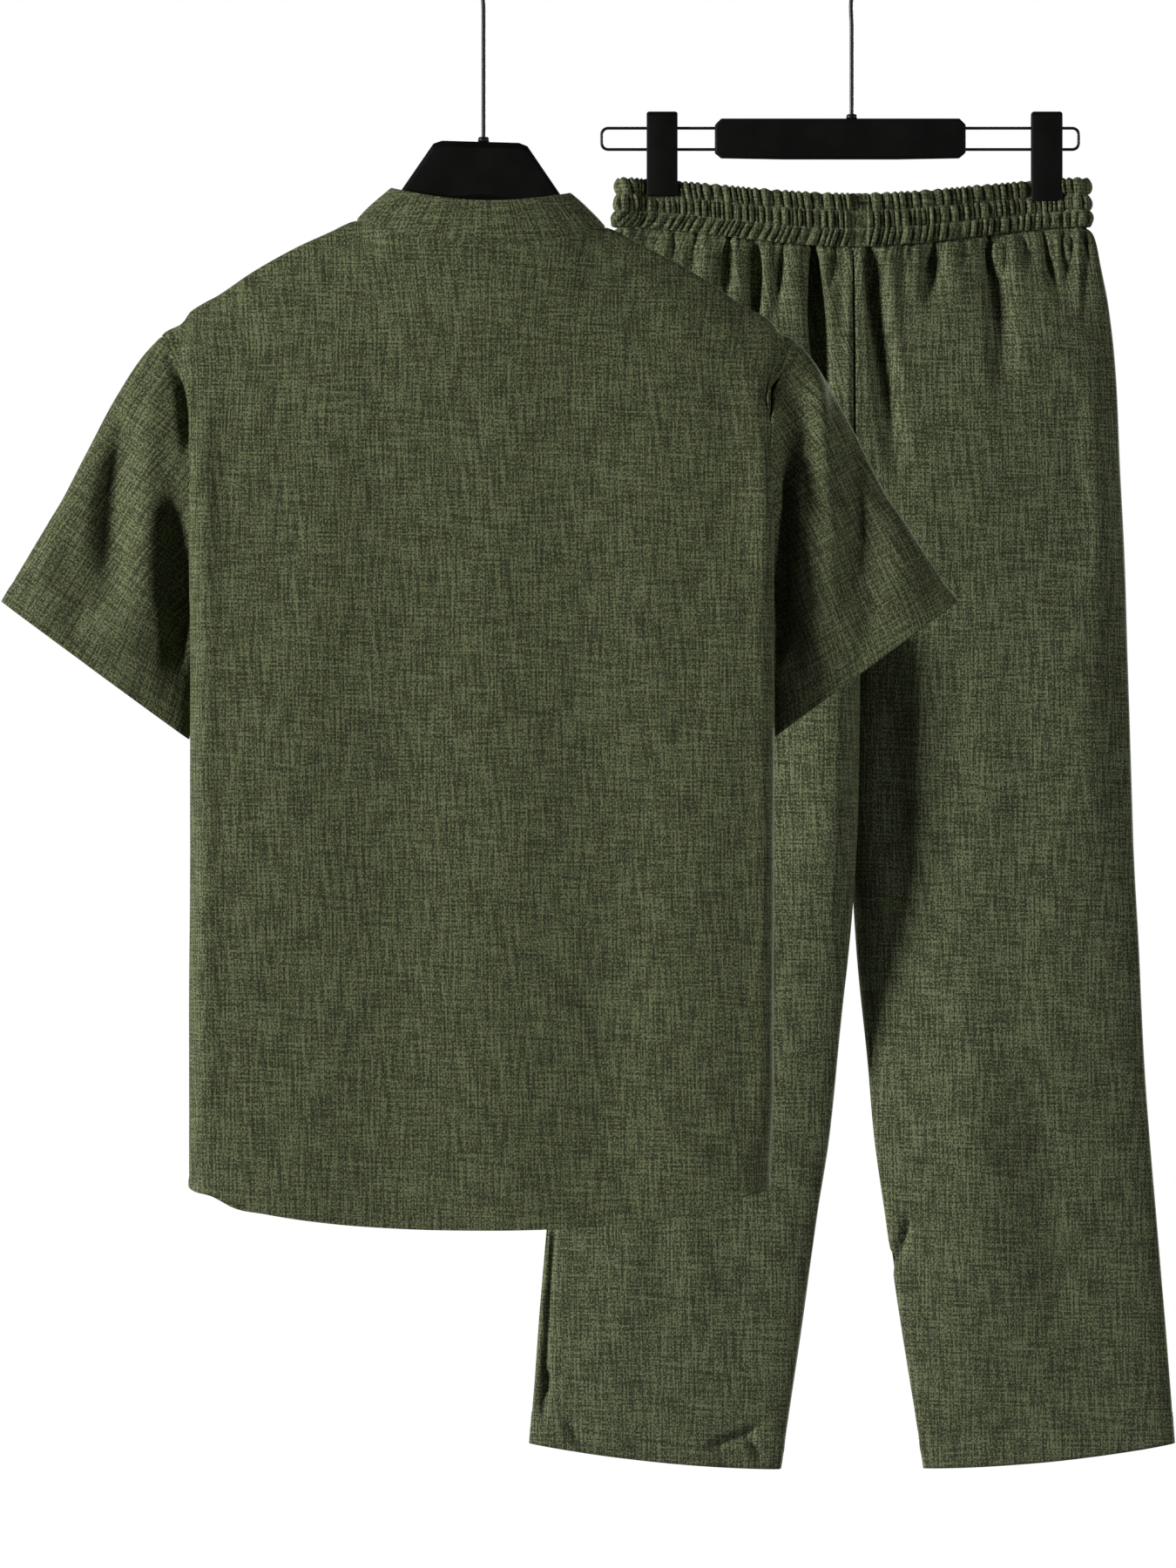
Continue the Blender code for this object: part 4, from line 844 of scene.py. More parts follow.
def stitch_recipe() -> NodeRecipe:
    """A run of stitches along each line: slim beads of thread, evenly spaced.

    Returns:
        The recipe.
    """
    recipe = NodeRecipe("Stitches", {
        "Pitch": "NodeSocketFloat",
        "Shape": "NodeSocketVector",
        "Finish": "NodeSocketMaterial",
    })
    source = recipe.source
    curve = recipe.add("GeometryNodeMeshToCurve", Mesh=source["Geometry"])
    spaced = recipe.add("GeometryNodeResampleCurve", {"mode": "LENGTH"}, Curve=curve.outputs[0],
                        Length=source["Pitch"])
    bead = recipe.add("GeometryNodeMeshUVSphere", Segments=6, Rings=4, Radius=1.0)
    shaped = recipe.add("GeometryNodeTransform", Geometry=bead.outputs[0], Scale=source["Shape"])
    ahead = recipe.add("GeometryNodeInputTangent")
    turned = recipe.add("FunctionNodeAlignRotationToVector", {"axis": "Z"}, Vector=ahead.outputs[0])
    placed = recipe.add("GeometryNodeInstanceOnPoints", Points=spaced.outputs[0],
                        Instance=shaped.outputs[0], Rotation=turned.outputs[0])
    recipe.close(placed.outputs[0])
    return recipe


def wire_recipe() -> NodeRecipe:
    """A round wire along each line.

    Returns:
        The recipe.
    """
    recipe = NodeRecipe("Wire", {"Radius": "NodeSocketFloat", "Finish": "NodeSocketMaterial"})
    source = recipe.source
    curve = recipe.add("GeometryNodeMeshToCurve", Mesh=source["Geometry"])
    ring = recipe.add("GeometryNodeCurvePrimitiveCircle", Resolution=20, Radius=source["Radius"])
    tube = recipe.add("GeometryNodeCurveToMesh", Curve=curve.outputs[0],
                      Profile_Curve=ring.outputs[0], Fill_Caps=True)
    recipe.close(tube.outputs[0])
    return recipe


@dataclass(frozen=True)
class ShirtForm:
    """The shirt's sizes, and the surfaces worked out from them, as drops below the neck point."""

    neck_z: float = -235.0
    neck_half: float = 98.0
    neck_back: tuple = (30.0, 17.4)
    neck_front: tuple = (38.0, 60.0)
    ridge_radius: float = 8.0
    chest_depth: float = 50.0
    armhole_depth: float = 28.0
    sleeve_full: float = 0.85
    sleeve_askew: float = 3.2
    collar_half: float = 70.5
    collar_back: tuple = (25.0, -16.6)
    collar_front: tuple = (33.0, 30.0)
    collar_side_rise: float = 26.0
    lap_x: float = 15.0
    lap_step: float = 1.7
    back_angles: tuple = (0.0, 22.5, 45.0, 67.5, 90.0)
    front_angles: tuple = (188.8, 180.0, 171.0, 163.0, 150.0, 130.0, 110.0, 90.0)
    shoulder_steps: int = 4
    corner_steps: int = 3
    armhole_last: int = 11
    last_shoulder_row: int = 3
    corner_mid: float = 0.66
    corner_pull: tuple = (1.5, 1.1, 1.7)
    corner_sag: tuple = (0.45, 1.2)
    hem_sag: tuple = (0.6, 224.0, 2.4)
    swell_fade: float = 160.0
    body: Profile = Profile(
        "row turn edge_x edge_drop mid_back mid_front fold_x flat_x even flare",
        (
            (0, 0, 249.0, 90.5, 17.4, 60.0, 231.0, 205.0, 0.00, 0.00),
            (1, 8, 248.4, 91.5, 19.5, 61.5, 231.4, 205.0, 0.02, 0.01),
            (2, 20, 246.0, 96.8, 27.0, 66.0, 231.5, 204.0, 0.08, 0.05),
            (3, 36, 237.5, 110.5, 46.0, 77.0, 231.0, 202.0, 0.25, 0.29),
            (4, 54, 226.5, 133.7, 78.0, 98.0, 228.5, 198.0, 0.50, 0.56),
            (5, 72, 220.0, 162.9, 118.0, 128.0, 226.0, 196.0, 0.75, 0.77),
            (6, 90, 217.0, 195.2, 160.0, 163.0, 224.8, 195.0, 0.92, 0.90),
            (7, 108, 214.0, 227.6, 203.0, 203.0, 224.5, 194.0, 1.00, 0.96),
            (8, 126, 212.0, 256.8, 243.0, 243.0, 224.5, 194.0, 1.00, 0.99),
            (9, 144, 211.0, 280.0, 274.0, 274.0, 224.5, 194.0, 1.00, 1.00),
            (10, 162, 210.3, 294.8, 293.0, 293.0, 224.5, 194.0, 1.00, 1.00),
            (11, 180, 210.0, 300.0, 300.0, 300.0, 224.5, 194.0, 1.00, 1.00),
            (12, 180, 210.8, 335.0, 335.0, 335.0, 224.5, 194.0, 1.00, 1.00),
            (13, 180, 213.5, 395.0, 395.0, 395.0, 224.5, 193.0, 1.00, 1.01),
            (14, 180, 218.0, 475.0, 475.0, 475.0, 224.5, 192.0, 1.00, 1.02),
            (15, 180, 221.5, 560.0, 562.0, 562.0, 224.6, 191.0, 1.00, 1.03),
            (16, 180, 223.0, 640.0, 655.0, 655.0, 224.8, 190.0, 1.00, 1.04),
            (17, 180, 223.5, 698.0, 728.0, 728.0, 225.0, 190.0, 1.00, 1.04),
            (18, 180, 223.5, 738.0, 782.0, 782.0, 225.0, 190.0, 1.00, 1.04),
        ),
    )
    shoulder: Profile = Profile(
        "x drop",
        ((98.0, 0.0), (119.3, 9.8), (164.9, 33.0), (195.5, 52.4), (226.1, 75.3), (249.0, 90.5)),
    )
    askew: Profile = Profile(
        "drop shift lean",
        (
            (-70, -2.7, 0.028),
            (0, -2.2, 0.028),
            (90, -2.2, 0.015),
            (300, -3.0, 0.0),
            (800, -3.0, 0.0),
        ),
    )
    swells: tuple = (
        (-150.0, 2.6, 34.0, 240.0),
        (-62.0, -2.0, 30.0, 300.0),
        (20.0, 2.0, 36.0, 340.0),
        (96.0, -2.4, 30.0, 260.0),
        (160.0, 2.6, 32.0, 320.0),
    )
    sleeve: Profile = Profile(
        "share top_x top_drop low_x low_drop depth own",
        (
            (0.00, 249.0, 90.5, 210.0, 300.0, 28.0, 0.0),
            (0.10, 262.5, 106.0, 216.0, 312.0, 27.0, 0.35),
            (0.26, 283.0, 139.0, 219.8, 330.0, 26.0, 0.75),
            (0.43, 306.0, 183.0, 222.2, 348.0, 25.5, 1.0),
            (0.60, 327.0, 222.5, 223.8, 366.0, 24.5, 1.0),
            (0.78, 349.0, 257.5, 224.8, 383.0, 23.0, 1.0),
            (0.93, 367.0, 285.0, 226.6, 397.0, 21.5, 1.0),
            (1.00, 373.5, 294.5, 227.5, 402.0, 21.0, 1.0),
        ),
    )
    sleeve_turns: tuple = (0, 8, 20, 36, 54, 72, 90, 108, 126, 144, 162, 180)
    fold_ends: tuple = (0.18, 0.3)
    front_turn: float = 6.0
    sleeve_folds: tuple = (
        (128.0, -7.0, 17.0, 0.02, 0.80),
        (96.0, 3.5, 16.0, 0.00, 0.62),
        (66.0, -3.5, 15.0, 0.10, 1.05),
        (34.0, 2.0, 14.0, 0.10, 1.05),
    )

    def neck_point(self, angle: float) -> np.ndarray:
        """A point of the neckline.

        Args:
            angle: 0 at the back's middle, 90 at the right side.

        Returns:
            Its x, y and drop.
        """
        turn = math.radians(angle)
        c = math.cos(turn)
        depth, drop = self.neck_back if c > 0 else self.neck_front
        return np.array([self.neck_half * math.sin(turn), -depth * c, drop * c * c])

    def collar_top(self, angle: float) -> np.ndarray:
        """The matching point of the collar band's upper edge.

        Args:
            angle: the neckline point's.

        Returns:
            Its x, y and drop.
        """
        turn = math.radians(angle)
        c = math.cos(turn)
        depth, middle = self.collar_back if c > 0 else self.collar_front
        drop = -self.collar_side_rise + (middle + self.collar_side_rise) * c * c
        return np.array([self.collar_half * math.sin(turn), -depth * c, drop])

    def ridge_depth(self, drop: float) -> float:
        """Half the width of the rounded shoulder ridge, so far below its top."""
        inside = min(max(drop, 0.0), self.ridge_radius)
        return math.sqrt(max(self.ridge_radius**2 - (self.ridge_radius - inside) ** 2, 0.0))

    def swell(self, x: float, drop: float) -> float:
        """The soft upright swells of the body.

        Args:
            x: the place across.
            drop: the place below the neck point.

        Returns:
            How far the cloth swells outward there.
        """
        total = 0.0
        for at, height, width, start in self.swells:
            fade = float(smooth_step((drop - start) / self.swell_fade))
            total += height * fade * float(bell(x - at, width))
        return total

    def top_columns(self, front: bool) -> list:
        """The top edge's points from the middle outward to the sleeve.

        Args:
            front: whether it is the front's edge.

        Returns:
            x, depth and drop of each.
        """
        points = []
        for angle in self.front_angles if front else self.back_angles:
            x, y, drop = self.neck_point(angle)
            points.append((x, abs(y), drop))
        flat, fold, tip = (float(self.body.at(k, 0)) for k in ("flat_x", "fold_x", "edge_x"))
        spans = ((self.neck_half, flat, self.shoulder_steps), (flat, fold, self.corner_steps),
                 (fold, tip, self.corner_steps))
        for low, high, steps in spans:
            for i in range(1, steps + 1):
                x = low + (high - low) * i / steps
                points.append((x, 0.0, float(self.shoulder.at("drop", x))))
        return points

    def corner(self, step: int, flat_end: np.ndarray, row: dict) -> tuple:
        """A point of the rounded side: where the body turns from its flat face to its edge.

        Args:
            step: which of the corner's points it is, from 1.
            flat_end: x and depth where the flat face ends.
            row: the sizes of this section.

        Returns:
            Its x, its depth, and its share of the hem's sag.
        """
        steps = self.corner_steps
        end = np.array([row["edge_x"], row["edge_y"]])
        mid = np.array([row["fold_x"], end[1] + (flat_end[1] - end[1]) * self.corner_mid])
        pull, leave, arrive = self.corner_pull
        if step <= steps:
            m0 = np.array([(row["fold_x"] - flat_end[0]) * pull, 0.0])
            m1 = np.array([0.0, (mid[1] - flat_end[1]) * pull])
            x, y = hermite(flat_end, mid, m0, m1, step / steps)
        else:
            m0 = np.array([0.0, (end[1] - mid[1]) * leave])
            m1 = np.array([0.0, (end[1] - mid[1]) * arrive])
            x, y = hermite(mid, end, m0, m1, (step - steps) / steps)
        sag, power = self.corner_sag
        return x, y, sag * (1.0 - (step / (2.0 * steps)) ** power)

    def body_grid(self, side: int, front: bool) -> np.ndarray:
        """The outer face of half the back or front, from the middle to the side.

        Args:
            side: -1 for the left half, 1 for the right.
            front: whether it is the front.

        Returns:
            A grid of x, y and drop, rows downward, columns outward.
        """
        top = self.top_columns(front)
        flat_count = len(top) - 2 * self.corner_steps
        lap = 4 if front else 1
        mid_name = "mid_front" if front else "mid_back"
        tip_drop = float(self.body.at("edge_drop", 0))
        mid_drop = float(self.body.at(mid_name, 0))
        rows = []
        for values in self.body.rows:
            row = dict(zip(self.body.names, values))
            low = row["row"] > self.armhole_last
            turn = math.radians(row["turn"])
            row["edge_y"] = self.armhole_depth * max(math.sin(turn), 0.0) ** self.sleeve_full
            fall = row[mid_name] - row["edge_drop"]
            line = []
            flat_end = None
            for k, (x0, y0, drop0) in enumerate(top):
                shape = (tip_drop - drop0) / (tip_drop - mid_drop)
                if k >= flat_count:
                    x, y, hem_shape = self.corner(k - flat_count + 1, flat_end, row)
                    drop = row["edge_drop"] + fall * (hem_shape if low else shape)
                    line.append((x, y, drop))
                    continue
                x = x0
                if k >= lap:
                    step = (k - lap + 1) / (flat_count - lap)
                    x_even = top[lap - 1][0] + (row["flat_x"] - top[lap - 1][0]) * step
                    x_top = x0 * row["flat_x"] / top[flat_count - 1][0]
                    x = (1 - row["even"]) * x_top + row["even"] * x_even
                if low:
                    sag, half, power = self.hem_sag
                    shape = 1.0 - sag * (abs(x) / half) ** power
                drop = row["edge_drop"] + fall * shape
                own = max(y0, self.ridge_depth(drop - drop0))
                y = own + (self.chest_depth - own) * min(row["flare"], 1.0)
                y += self.chest_depth * max(row["flare"] - 1.0, 0.0)
                if row["row"] > self.last_shoulder_row:
                    y += self.swell(side * x * (-1 if front else 1), drop)
                flat_end = np.array([x, y])
                line.append((x, y, drop))
            rows.append(line)
        grid = np.array(rows)
        grid[:, :, 0] *= side
        if not front:
            grid[:, :, 1] *= -1.0
        return grid

    def settle(self, grid: np.ndarray) -> np.ndarray:
        """Hang the shirt from its neck point, a little askew.

        Args:
            grid: points with x, y and drop.

        Returns:
            The points with x, y and z.
        """
        out = np.array(grid, dtype=float)
        drop = out[..., 2].copy()
        out[..., 0] += self.askew.at("shift", drop)
        out[..., 2] = self.neck_z - drop - self.askew.at("lean", drop) * out[..., 0]
        return out

    def armhole_point(self, side: int, turn: float, front: bool) -> np.ndarray:
        """A point of the armhole loop.

        Args:
            side: -1 for the left one, 1 for the right.
            turn: 0 at the shoulder, 180 under the arm.
            front: whether it is on the front.

        Returns:
            Its x, y and drop.
        """
        rows = self.body.rows[: self.armhole_last + 1]
        at = int(np.argmin(np.abs(rows[:, 1] - turn)))
        y = self.armhole_depth * max(math.sin(math.radians(turn)), 0.0) ** self.sleeve_full
        return np.array([side * rows[at][2], y if front else -y, rows[at][3]])

    def sleeve_grid(self, side: int) -> np.ndarray:
        """The sleeve's outer face.

        Args:
            side: -1 for the left one, 1 for the right.

        Returns:
            Rings of x, y and drop, from the armhole to the cuff.
        """
        turns = [(t, False) for t in self.sleeve_turns]
        turns += [(t, True) for t in reversed(self.sleeve_turns[1:-1])]
        if side > 0:
            turns = [turns[0]] + list(reversed(turns[1:]))
        ends = [np.array([float(self.sleeve.at(a, 0)), float(self.sleeve.at(b, 0))])
                for a, b in (("top_x", "top_drop"), ("low_x", "low_drop"))]
        rings = []
        for row in self.sleeve.rows:
            share, top_x, top_drop, low_x, low_drop, depth, own = row
            top, low = np.array([top_x, top_drop]), np.array([low_x, low_drop])
            ring = []
            for turn, front in turns:
                angle = math.radians(turn)
                lift = max(math.sin(angle), 0.0) ** self.sleeve_full
                mid = (top + low) / 2.0 + (top - low) / 2.0 * math.cos(angle)
                first = self.armhole_point(side, turn, front)
                start = (ends[0] + ends[1]) / 2.0 + (ends[0] - ends[1]) / 2.0 * math.cos(angle)
                off = np.array([abs(first[0]), first[2]]) - start
                x, drop = mid + off * (1.0 - own)
                y = depth * lift
                for at, height, width, begin, end in self.sleeve_folds:
                    fade = smooth_step((share - begin) / self.fold_ends[0])
                    fade *= smooth_step((end - share) / self.fold_ends[1])
                    where = turn - (self.front_turn if front else 0.0)
                    y += height * float(fade) * float(bell(where - at, width)) * lift
                bow = 4.0 * share * (1.0 - share)
                x -= side * self.sleeve_askew * bow * (1.0 + math.cos(angle)) / 2.0
                ring.append((side * x, y if front else -y, drop))
            rings.append(ring)
        return np.array(rings)

    def collar_grid(self) -> np.ndarray:
        """The collar band's outer face.

        Returns:
            Rows of x, y and drop, each from the left front round the back.
        """
        angles = [-a for a in self.front_angles] + [-a for a in reversed(self.back_angles[:-1])]
        angles += list(self.back_angles[1:-1]) + list(reversed(self.front_angles))
        rows = []
        for share in (0.0, 0.35, 0.7, 1.0):
            line = []
            for angle in angles:
                top, low = self.collar_top(angle), self.neck_point(angle)
                turn = math.radians(angle)
                out = np.array([math.sin(turn), -math.cos(turn), 0.0])
                line.append(top + (low - top) * share + out * 1.4 * math.sin(math.pi * share))
            rows.append(line)
        return np.array(rows)


BACK_CREASES = creases(
    (-216, -365, -213, -600, -214, -985, 4.5, 7.5, 0, 0.12, 0.12),
    (216, -392, 217, -640, 216, -985, 6.5, 7.5, 0, 0.12, 0.12),
    (-120, -300, -128, -480, -118, -700, 1.3, 26),
    (-60, -420, -66, -600, -56, -820, -1.5, 24),
    (8, -330, 2, -520, 10, -760, 1.2, 24),
    (70, -380, 78, -560, 66, -780, -1.6, 22),
    (128, -340, 136, -500, 126, -690, 1.6, 22),
    (186, -330, 192, -400, 188, -520, -1.8, 14),
    (-190, -330, -196, -400, -186, -560, -1.6, 15),
    (-20, -760, -26, -860, -18, -1000, 1.4, 30),
    (100, -780, 108, -880, 96, -990, -1.4, 26),
    (-140, -740, -150, -860, -138, -980, -1.3, 24),
    (-96, -262, -120, -290, -140, -330, -1.4, 12),
    (96, -262, 122, -296, 142, -336, -1.4, 12),
    (176, -300, 196, -330, 204, -372, 1.6, 10),
    (230, -340, 223, -362, 221, -396, -5, 5),
)
FRONT_CREASES = creases(
    (-110, -330, -122, -520, -104, -760, 1.5, 24),
    (-56, -360, -48, -540, -60, -800, -1.7, 22),
    (56, -340, 66, -540, 52, -780, 1.5, 22),
    (118, -350, 112, -540, 124, -760, -1.7, 22),
    (178, -330, 188, -460, 176, -600, 1.4, 16),
    (-180, -330, -190, -460, -176, -620, 1.5, 16),
    (-140, -760, -150, -860, -134, -990, -1.5, 24),
    (90, -780, 98, -880, 84, -1000, 1.4, 26),
    (-84, -300, -110, -340, -150, -390, -1.6, 12),
    (84, -305, 112, -345, 150, -400, -1.5, 13),
)
LEFT_SLEEVE_CREASES = creases(
    (-246, -327, -229, -356, -229, -430, -9, 4.6, 0, 0.1, 0.3),
    (-258, -350, -264, -440, -258, -575, 5, 13, 0, 0.2),
    (-276, -372, -299, -445, -289, -560, -12, 13, 0.1),
    (-242, -430, -236, -490, -232, -600, -13, 12, 0, 0.35, 0.2),
    (-248, -520, -250, -560, -252, -590, 2.5, 8),
    (-300, -500, -316, -550, -326, -590, -3.6, 12),
    (-326, -440, -338, -490, -348, -530, 2.4, 12),
)
RIGHT_SLEEVE_CREASES = creases(
    (246, -333, 232, -350, 221, -376, -5, 3.6),
    (255, -340, 268, -425, 274, -570, 12, 14, -0.1, 0.25, 0.4, 0.5),
    (239, -392, 233, -480, 226, -592, -13, 6, 0.1, 0.3, 0.2),
    (288, -378, 294, -440, 291, -525, -4.5, 7),
    (221, -366, 224, -405, 220, -460, 13, 6, 0, 0.25),
    (225, -524, 227, -545, 225, -566, 8, 5),
    (314, -440, 324, -490, 327, -575, 6.5, 17, 0, 0.4),
    (344, -460, 350, -490, 356, -530, 2.6, 10),
    (312, -520, 298, -560, 284, -600, -2.6, 10),
)


@dataclass
class Shirt:
    """The shirt's cloth pieces, buttons and sewing."""

    form: ShirtForm = field(default_factory=ShirtForm)
    step: float = 4.4
    sleeve_step: float = 3.2
    collar_step: float = 2.6
    hem: float = 6.0
    cuff_hem: float = 17.0
    placket: float = 26.0
    button_radius: float = 5.5
    button_thick: float = 2.6
    button_count: int = 7
    hole_place: float = 1.25
    hole_radius: float = 0.72
    thread_half: float = 0.32
    thread_depth: float = 0.3
    thread_rise: float = 0.35
    seam_fade: float = 5.0
    left_grain: float = -34.9
    right_grain: float = 33.8
    cuts: dict = field(default_factory=lambda: {
        "back": (0.560, 0.800, 0.405),
        "front": (0.310, 0.800, 0.212),
        "sleeve": (0.410, 0.265, 0.069),
        "collar": (0.470, 0.040, 0.0165),
    })

    def panels(self) -> dict:
        """Work out every cloth panel of the shirt.

        Returns:
            The panels by their keys.
        """
        form = self.form
        left_back = form.settle(form.body_grid(-1, False))
        right_back = form.settle(form.body_grid(1, False))
        grids = {
            "back": np.concatenate([left_back[:, :0:-1], right_back], axis=1),
            "front_left": form.settle(form.body_grid(-1, True)),
            "front_right": form.settle(form.body_grid(1, True))[:, ::-1],
        }
        panels = {}
        for key, grid in grids.items():
            grid = spline(grid, self.step, (True, True))
            grid = np.swapaxes(spline(np.swapaxes(grid, 0, 1), self.step, (True, True)), 0, 1)
            panels[key] = ClothPanel(f"shirt_{key}_cloth", f"shirt_{key}", grid, False, 0.0)
        for side, word in ((-1, "left"), (1, "right")):
            grid = spline(form.settle(form.sleeve_grid(side)), self.sleeve_step, (True, True))
            turned = spline(np.swapaxes(grid, 0, 1), self.sleeve_step, (False, False), closed=True)
            grain = self.left_grain if side < 0 else self.right_grain
            key = f"sleeve_{word}"
            panels[key] = ClothPanel(f"shirt_{key}_cloth", f"shirt_{key}", np.swapaxes(turned, 0, 1),
                                     True, grain)
        grid = spline(form.settle(form.collar_grid()), self.collar_step, (True, True))
        grid = np.swapaxes(spline(np.swapaxes(grid, 0, 1), self.collar_step, (True, True)), 0, 1)
        panels["collar_band"] = ClothPanel("shirt_collar_band_cloth", "shirt_collar_band", grid, False, 0.0)
        return panels

    def shape(self, panels: dict) -> None:
        """Crease, hem and seam the panels.

        Args:
            panels: the shirt's panels.
        """
        panels["back"].crease(BACK_CREASES, self.seam_fade)
        panels["front_left"].crease(FRONT_CREASES, self.seam_fade)
        panels["front_right"].crease(FRONT_CREASES, self.seam_fade)
        panels["sleeve_left"].crease(LEFT_SLEEVE_CREASES, self.seam_fade, 0.0, 0.7, 0.0)
        panels["sleeve_right"].crease(RIGHT_SLEEVE_CREASES, self.seam_fade, 0.0, 0.6, 0.0)
        for key, panel in panels.items():
            if key == "collar_band":
                panel.roll_seam(Edge.BOTTOM, depth=1.3, width=1.5)
                panel.slub(0.12, 9.0, 0.4)
                continue
            if key.startswith("sleeve"):
                panel.roll_seam(Edge.TOP, depth=1.1, width=1.6)
                panel.turn_hem(Edge.BOTTOM, self.cuff_hem, 0.35)
                panel.slub(0.22, 22.0, 1.1 if key.endswith("left") else 2.3)
                continue
            panel.roll_seam(Edge.TOP)
            panel.turn_hem(Edge.BOTTOM, self.hem)
            panel.slub(0.3, 34.0, {"back": 0.3, "front_left": 1.9, "front_right": 3.1}[key])
        under = panels["front_right"]
        near = under.grid[..., 0] - float(self.form.askew.at("shift", 0))
        under.lift -= self.form.lap_step * smooth_step((self.form.lap_x + 2.5 - near) / 1.5)
        panels["front_left"].turn_hem(Edge.LEFT, self.placket, 0.3)
        under_collar = panels["collar_band"]
        end = under_collar.from_edge(Edge.RIGHT)
        under_collar.lift -= self.form.lap_step * smooth_step((20.0 - end) / 2.0)

    def stitches(self, panels: dict) -> list:
        """The lines of the shirt's sewing.

        Args:
            panels: its panels.

        Returns:
            The points of each line.
        """
        lines = [
            panels["collar_band"].line(Edge.TOP, 2.2),
            panels["collar_band"].line(Edge.BOTTOM, 2.2),
            panels["front_left"].line(Edge.LEFT, self.placket),
            panels["front_left"].line(Edge.LEFT, 2.0),
        ]
        for key in ("back", "front_left", "front_right"):
            lines.append(panels[key].line(Edge.BOTTOM, self.hem))
        for key in ("sleeve_left", "sleeve_right"):
            run = panels[key].line(Edge.BOTTOM, self.cuff_hem)
            lines.append(np.concatenate([run, run[:1]]))
        return lines

    def cut_of(self, key: str) -> tuple:
        """The flat width, length and area of a panel's cut, in metres."""
        return self.cuts[key.split("_")[0]]

    def build(self, cloth: bpy.types.Material, thread: bpy.types.Material,
              resin: bpy.types.Material, sewing: NodeRecipe) -> list:
        """Make every piece of the shirt.

        Args:
            cloth: the cloth's material.
            thread: the sewing thread's.
            resin: the buttons'.
            sewing: the recipe that lays stitches.

        Returns:
            The objects.
        """
        panels = self.panels()
        self.shape(panels)
        made = []
        for key, panel in panels.items():
            piece = panel.build(cloth)
            dress(piece, "shirt_cloth", panel.node)
            width, length, area = self.cut_of(key)
            LOG.info("%s: %.4f m2 of cloth, cut %.4f", panel.name, panel.area(), area)
            made.append(piece)
        values = {"Pitch": 3.1 * MM, "Shape": (0.26 * MM, 0.26 * MM, 1.15 * MM), "Finish": thread}
        run = sewing.run("shirt_stitching", self.stitches(panels), values)
        dress(run, "shirt_cloth")
        made.append(run)
        made += self.buttons(panels, resin, thread)
        return made

    def buttons(self, panels: dict, resin: bpy.types.Material, thread: bpy.types.Material) -> list:
        """Make the seven buttons with their thread, each where its solid is.

        Args:
            panels: the shirt's panels.
            resin: the buttons' material.
            thread: the thread's.

        Returns:
            The objects.
        """
        made = []
        for number in range(1, self.button_count + 1):
            node = f"shirt_button_{number}"
            low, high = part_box(node)
            out = np.array([0.0, 1.0, 0.0]) if number > 1 else self.collar_out(panels)
            centre = np.array((low + high) / 2.0) / MM - out * self.button_thick / 2.0
            piece = self.button(f"{node}_turned", centre, out, resin, thread)
            dress(piece, "button_resin", node)
            made.append(piece)
        return made

    def collar_out(self, panels: dict) -> np.ndarray:
        """The way that the collar band faces at its front middle.

        Args:
            panels: the shirt's panels.

        Returns:
            A direction of length one.
        """
        panel = panels["collar_band"]
        at = int(np.argmin(np.abs(panel.grid[4, :, 0] + 2.7) - (panel.grid[4, :, 1] > 0) * 1e6))
        return unit(panel.normals()[4, at])

    def button(self, name: str, centre: np.ndarray, out: np.ndarray, resin: bpy.types.Material,
               thread: bpy.types.Material) -> bpy.types.Object:
        """A four-hole button with a raised rim, and two bars of thread. Its holes are not cut: near-black
        discs on its face are painted shade where the holes would be dark.

        Args:
            name: the piece's name.
            centre: the middle of its back.
            out: the way that it faces.
            resin: its material.
            thread: the thread's.

        Returns:
            The object.
        """
        across = unit(np.cross(out, np.array([1.0, 0.0, 0.0])))
        along = unit(np.cross(across, out))
        r, t = self.button_radius, self.button_thick
        profile = ((0.0, 0.0), (r * 0.78, 0.0), (r * 0.93, t * 0.16), (r, t * 0.46), (r * 0.97, t * 0.8),
                   (r * 0.87, t), (r * 0.76, t * 0.94), (r * 0.66, t * 0.72), (0.0, t * 0.66))
        ring = circle(32)
        points, faces = lathe(centre, along, across, out, profile, ring)
        made = mesh_object(name, np.array(points), faces, resin)
        mesh = made.data
        mesh.materials.append(thread)
        mesh.materials.append(bpy.data.materials["button_hole_shade"])
        extra = bmesh.new()
        extra.from_mesh(mesh)
        # The four holes are flat near-black discs on the face: painted shade in place of the holes' depth.
        spots = ((1, 1), (1, -1), (-1, 1), (-1, -1))
        for a, b in spots:
            spot = centre + (along * a + across * b) * self.hole_place + out * (t * 0.69)
            disc = [spot + (along * c + across * s) * self.hole_radius for c, s in ring[::3]]
            face = extra.faces.new([extra.verts.new(Vector(p * MM)) for p in disc])
            face.material_index = 2
        for a, b in spots[:2]:
            reach = (along * a + across * b) * self.hole_place
            self.thread_bar(extra, centre + out * (t * 0.78), reach, out)
        extra.normal_update()
        extra.to_mesh(mesh)
        extra.free()
        return made

    def thread_bar(self, mesh: bmesh.types.BMesh, centre: np.ndarray, reach: np.ndarray,
                   out: np.ndarray) -> None:
        """Add a short bar of thread across a button to its mesh.

        Args:
            mesh: the button's mesh.
            centre: the bar's middle.
            reach: from there to its end.
            out: the way that the button faces.
        """
        side = unit(np.cross(reach, out)) * self.thread_half
        up = out * self.thread_depth
        rings = []
        for share in (-1.0, -0.5, 0.0, 0.5, 1.0):
            rise = self.thread_rise * (1.0 - share * share)
            at = centre + reach * share + out * rise
            corners = (side, up, -side, -up)
            rings.append([mesh.verts.new(Vector((at + c) * MM)) for c in corners])
        for low, high in zip(rings[:-1], rings[1:]):
            for i in range(4):
                j = (i + 1) % 4
                face = mesh.faces.new((low[i], low[j], high[j], high[i]))
                face.material_index = 1
                face.smooth = True


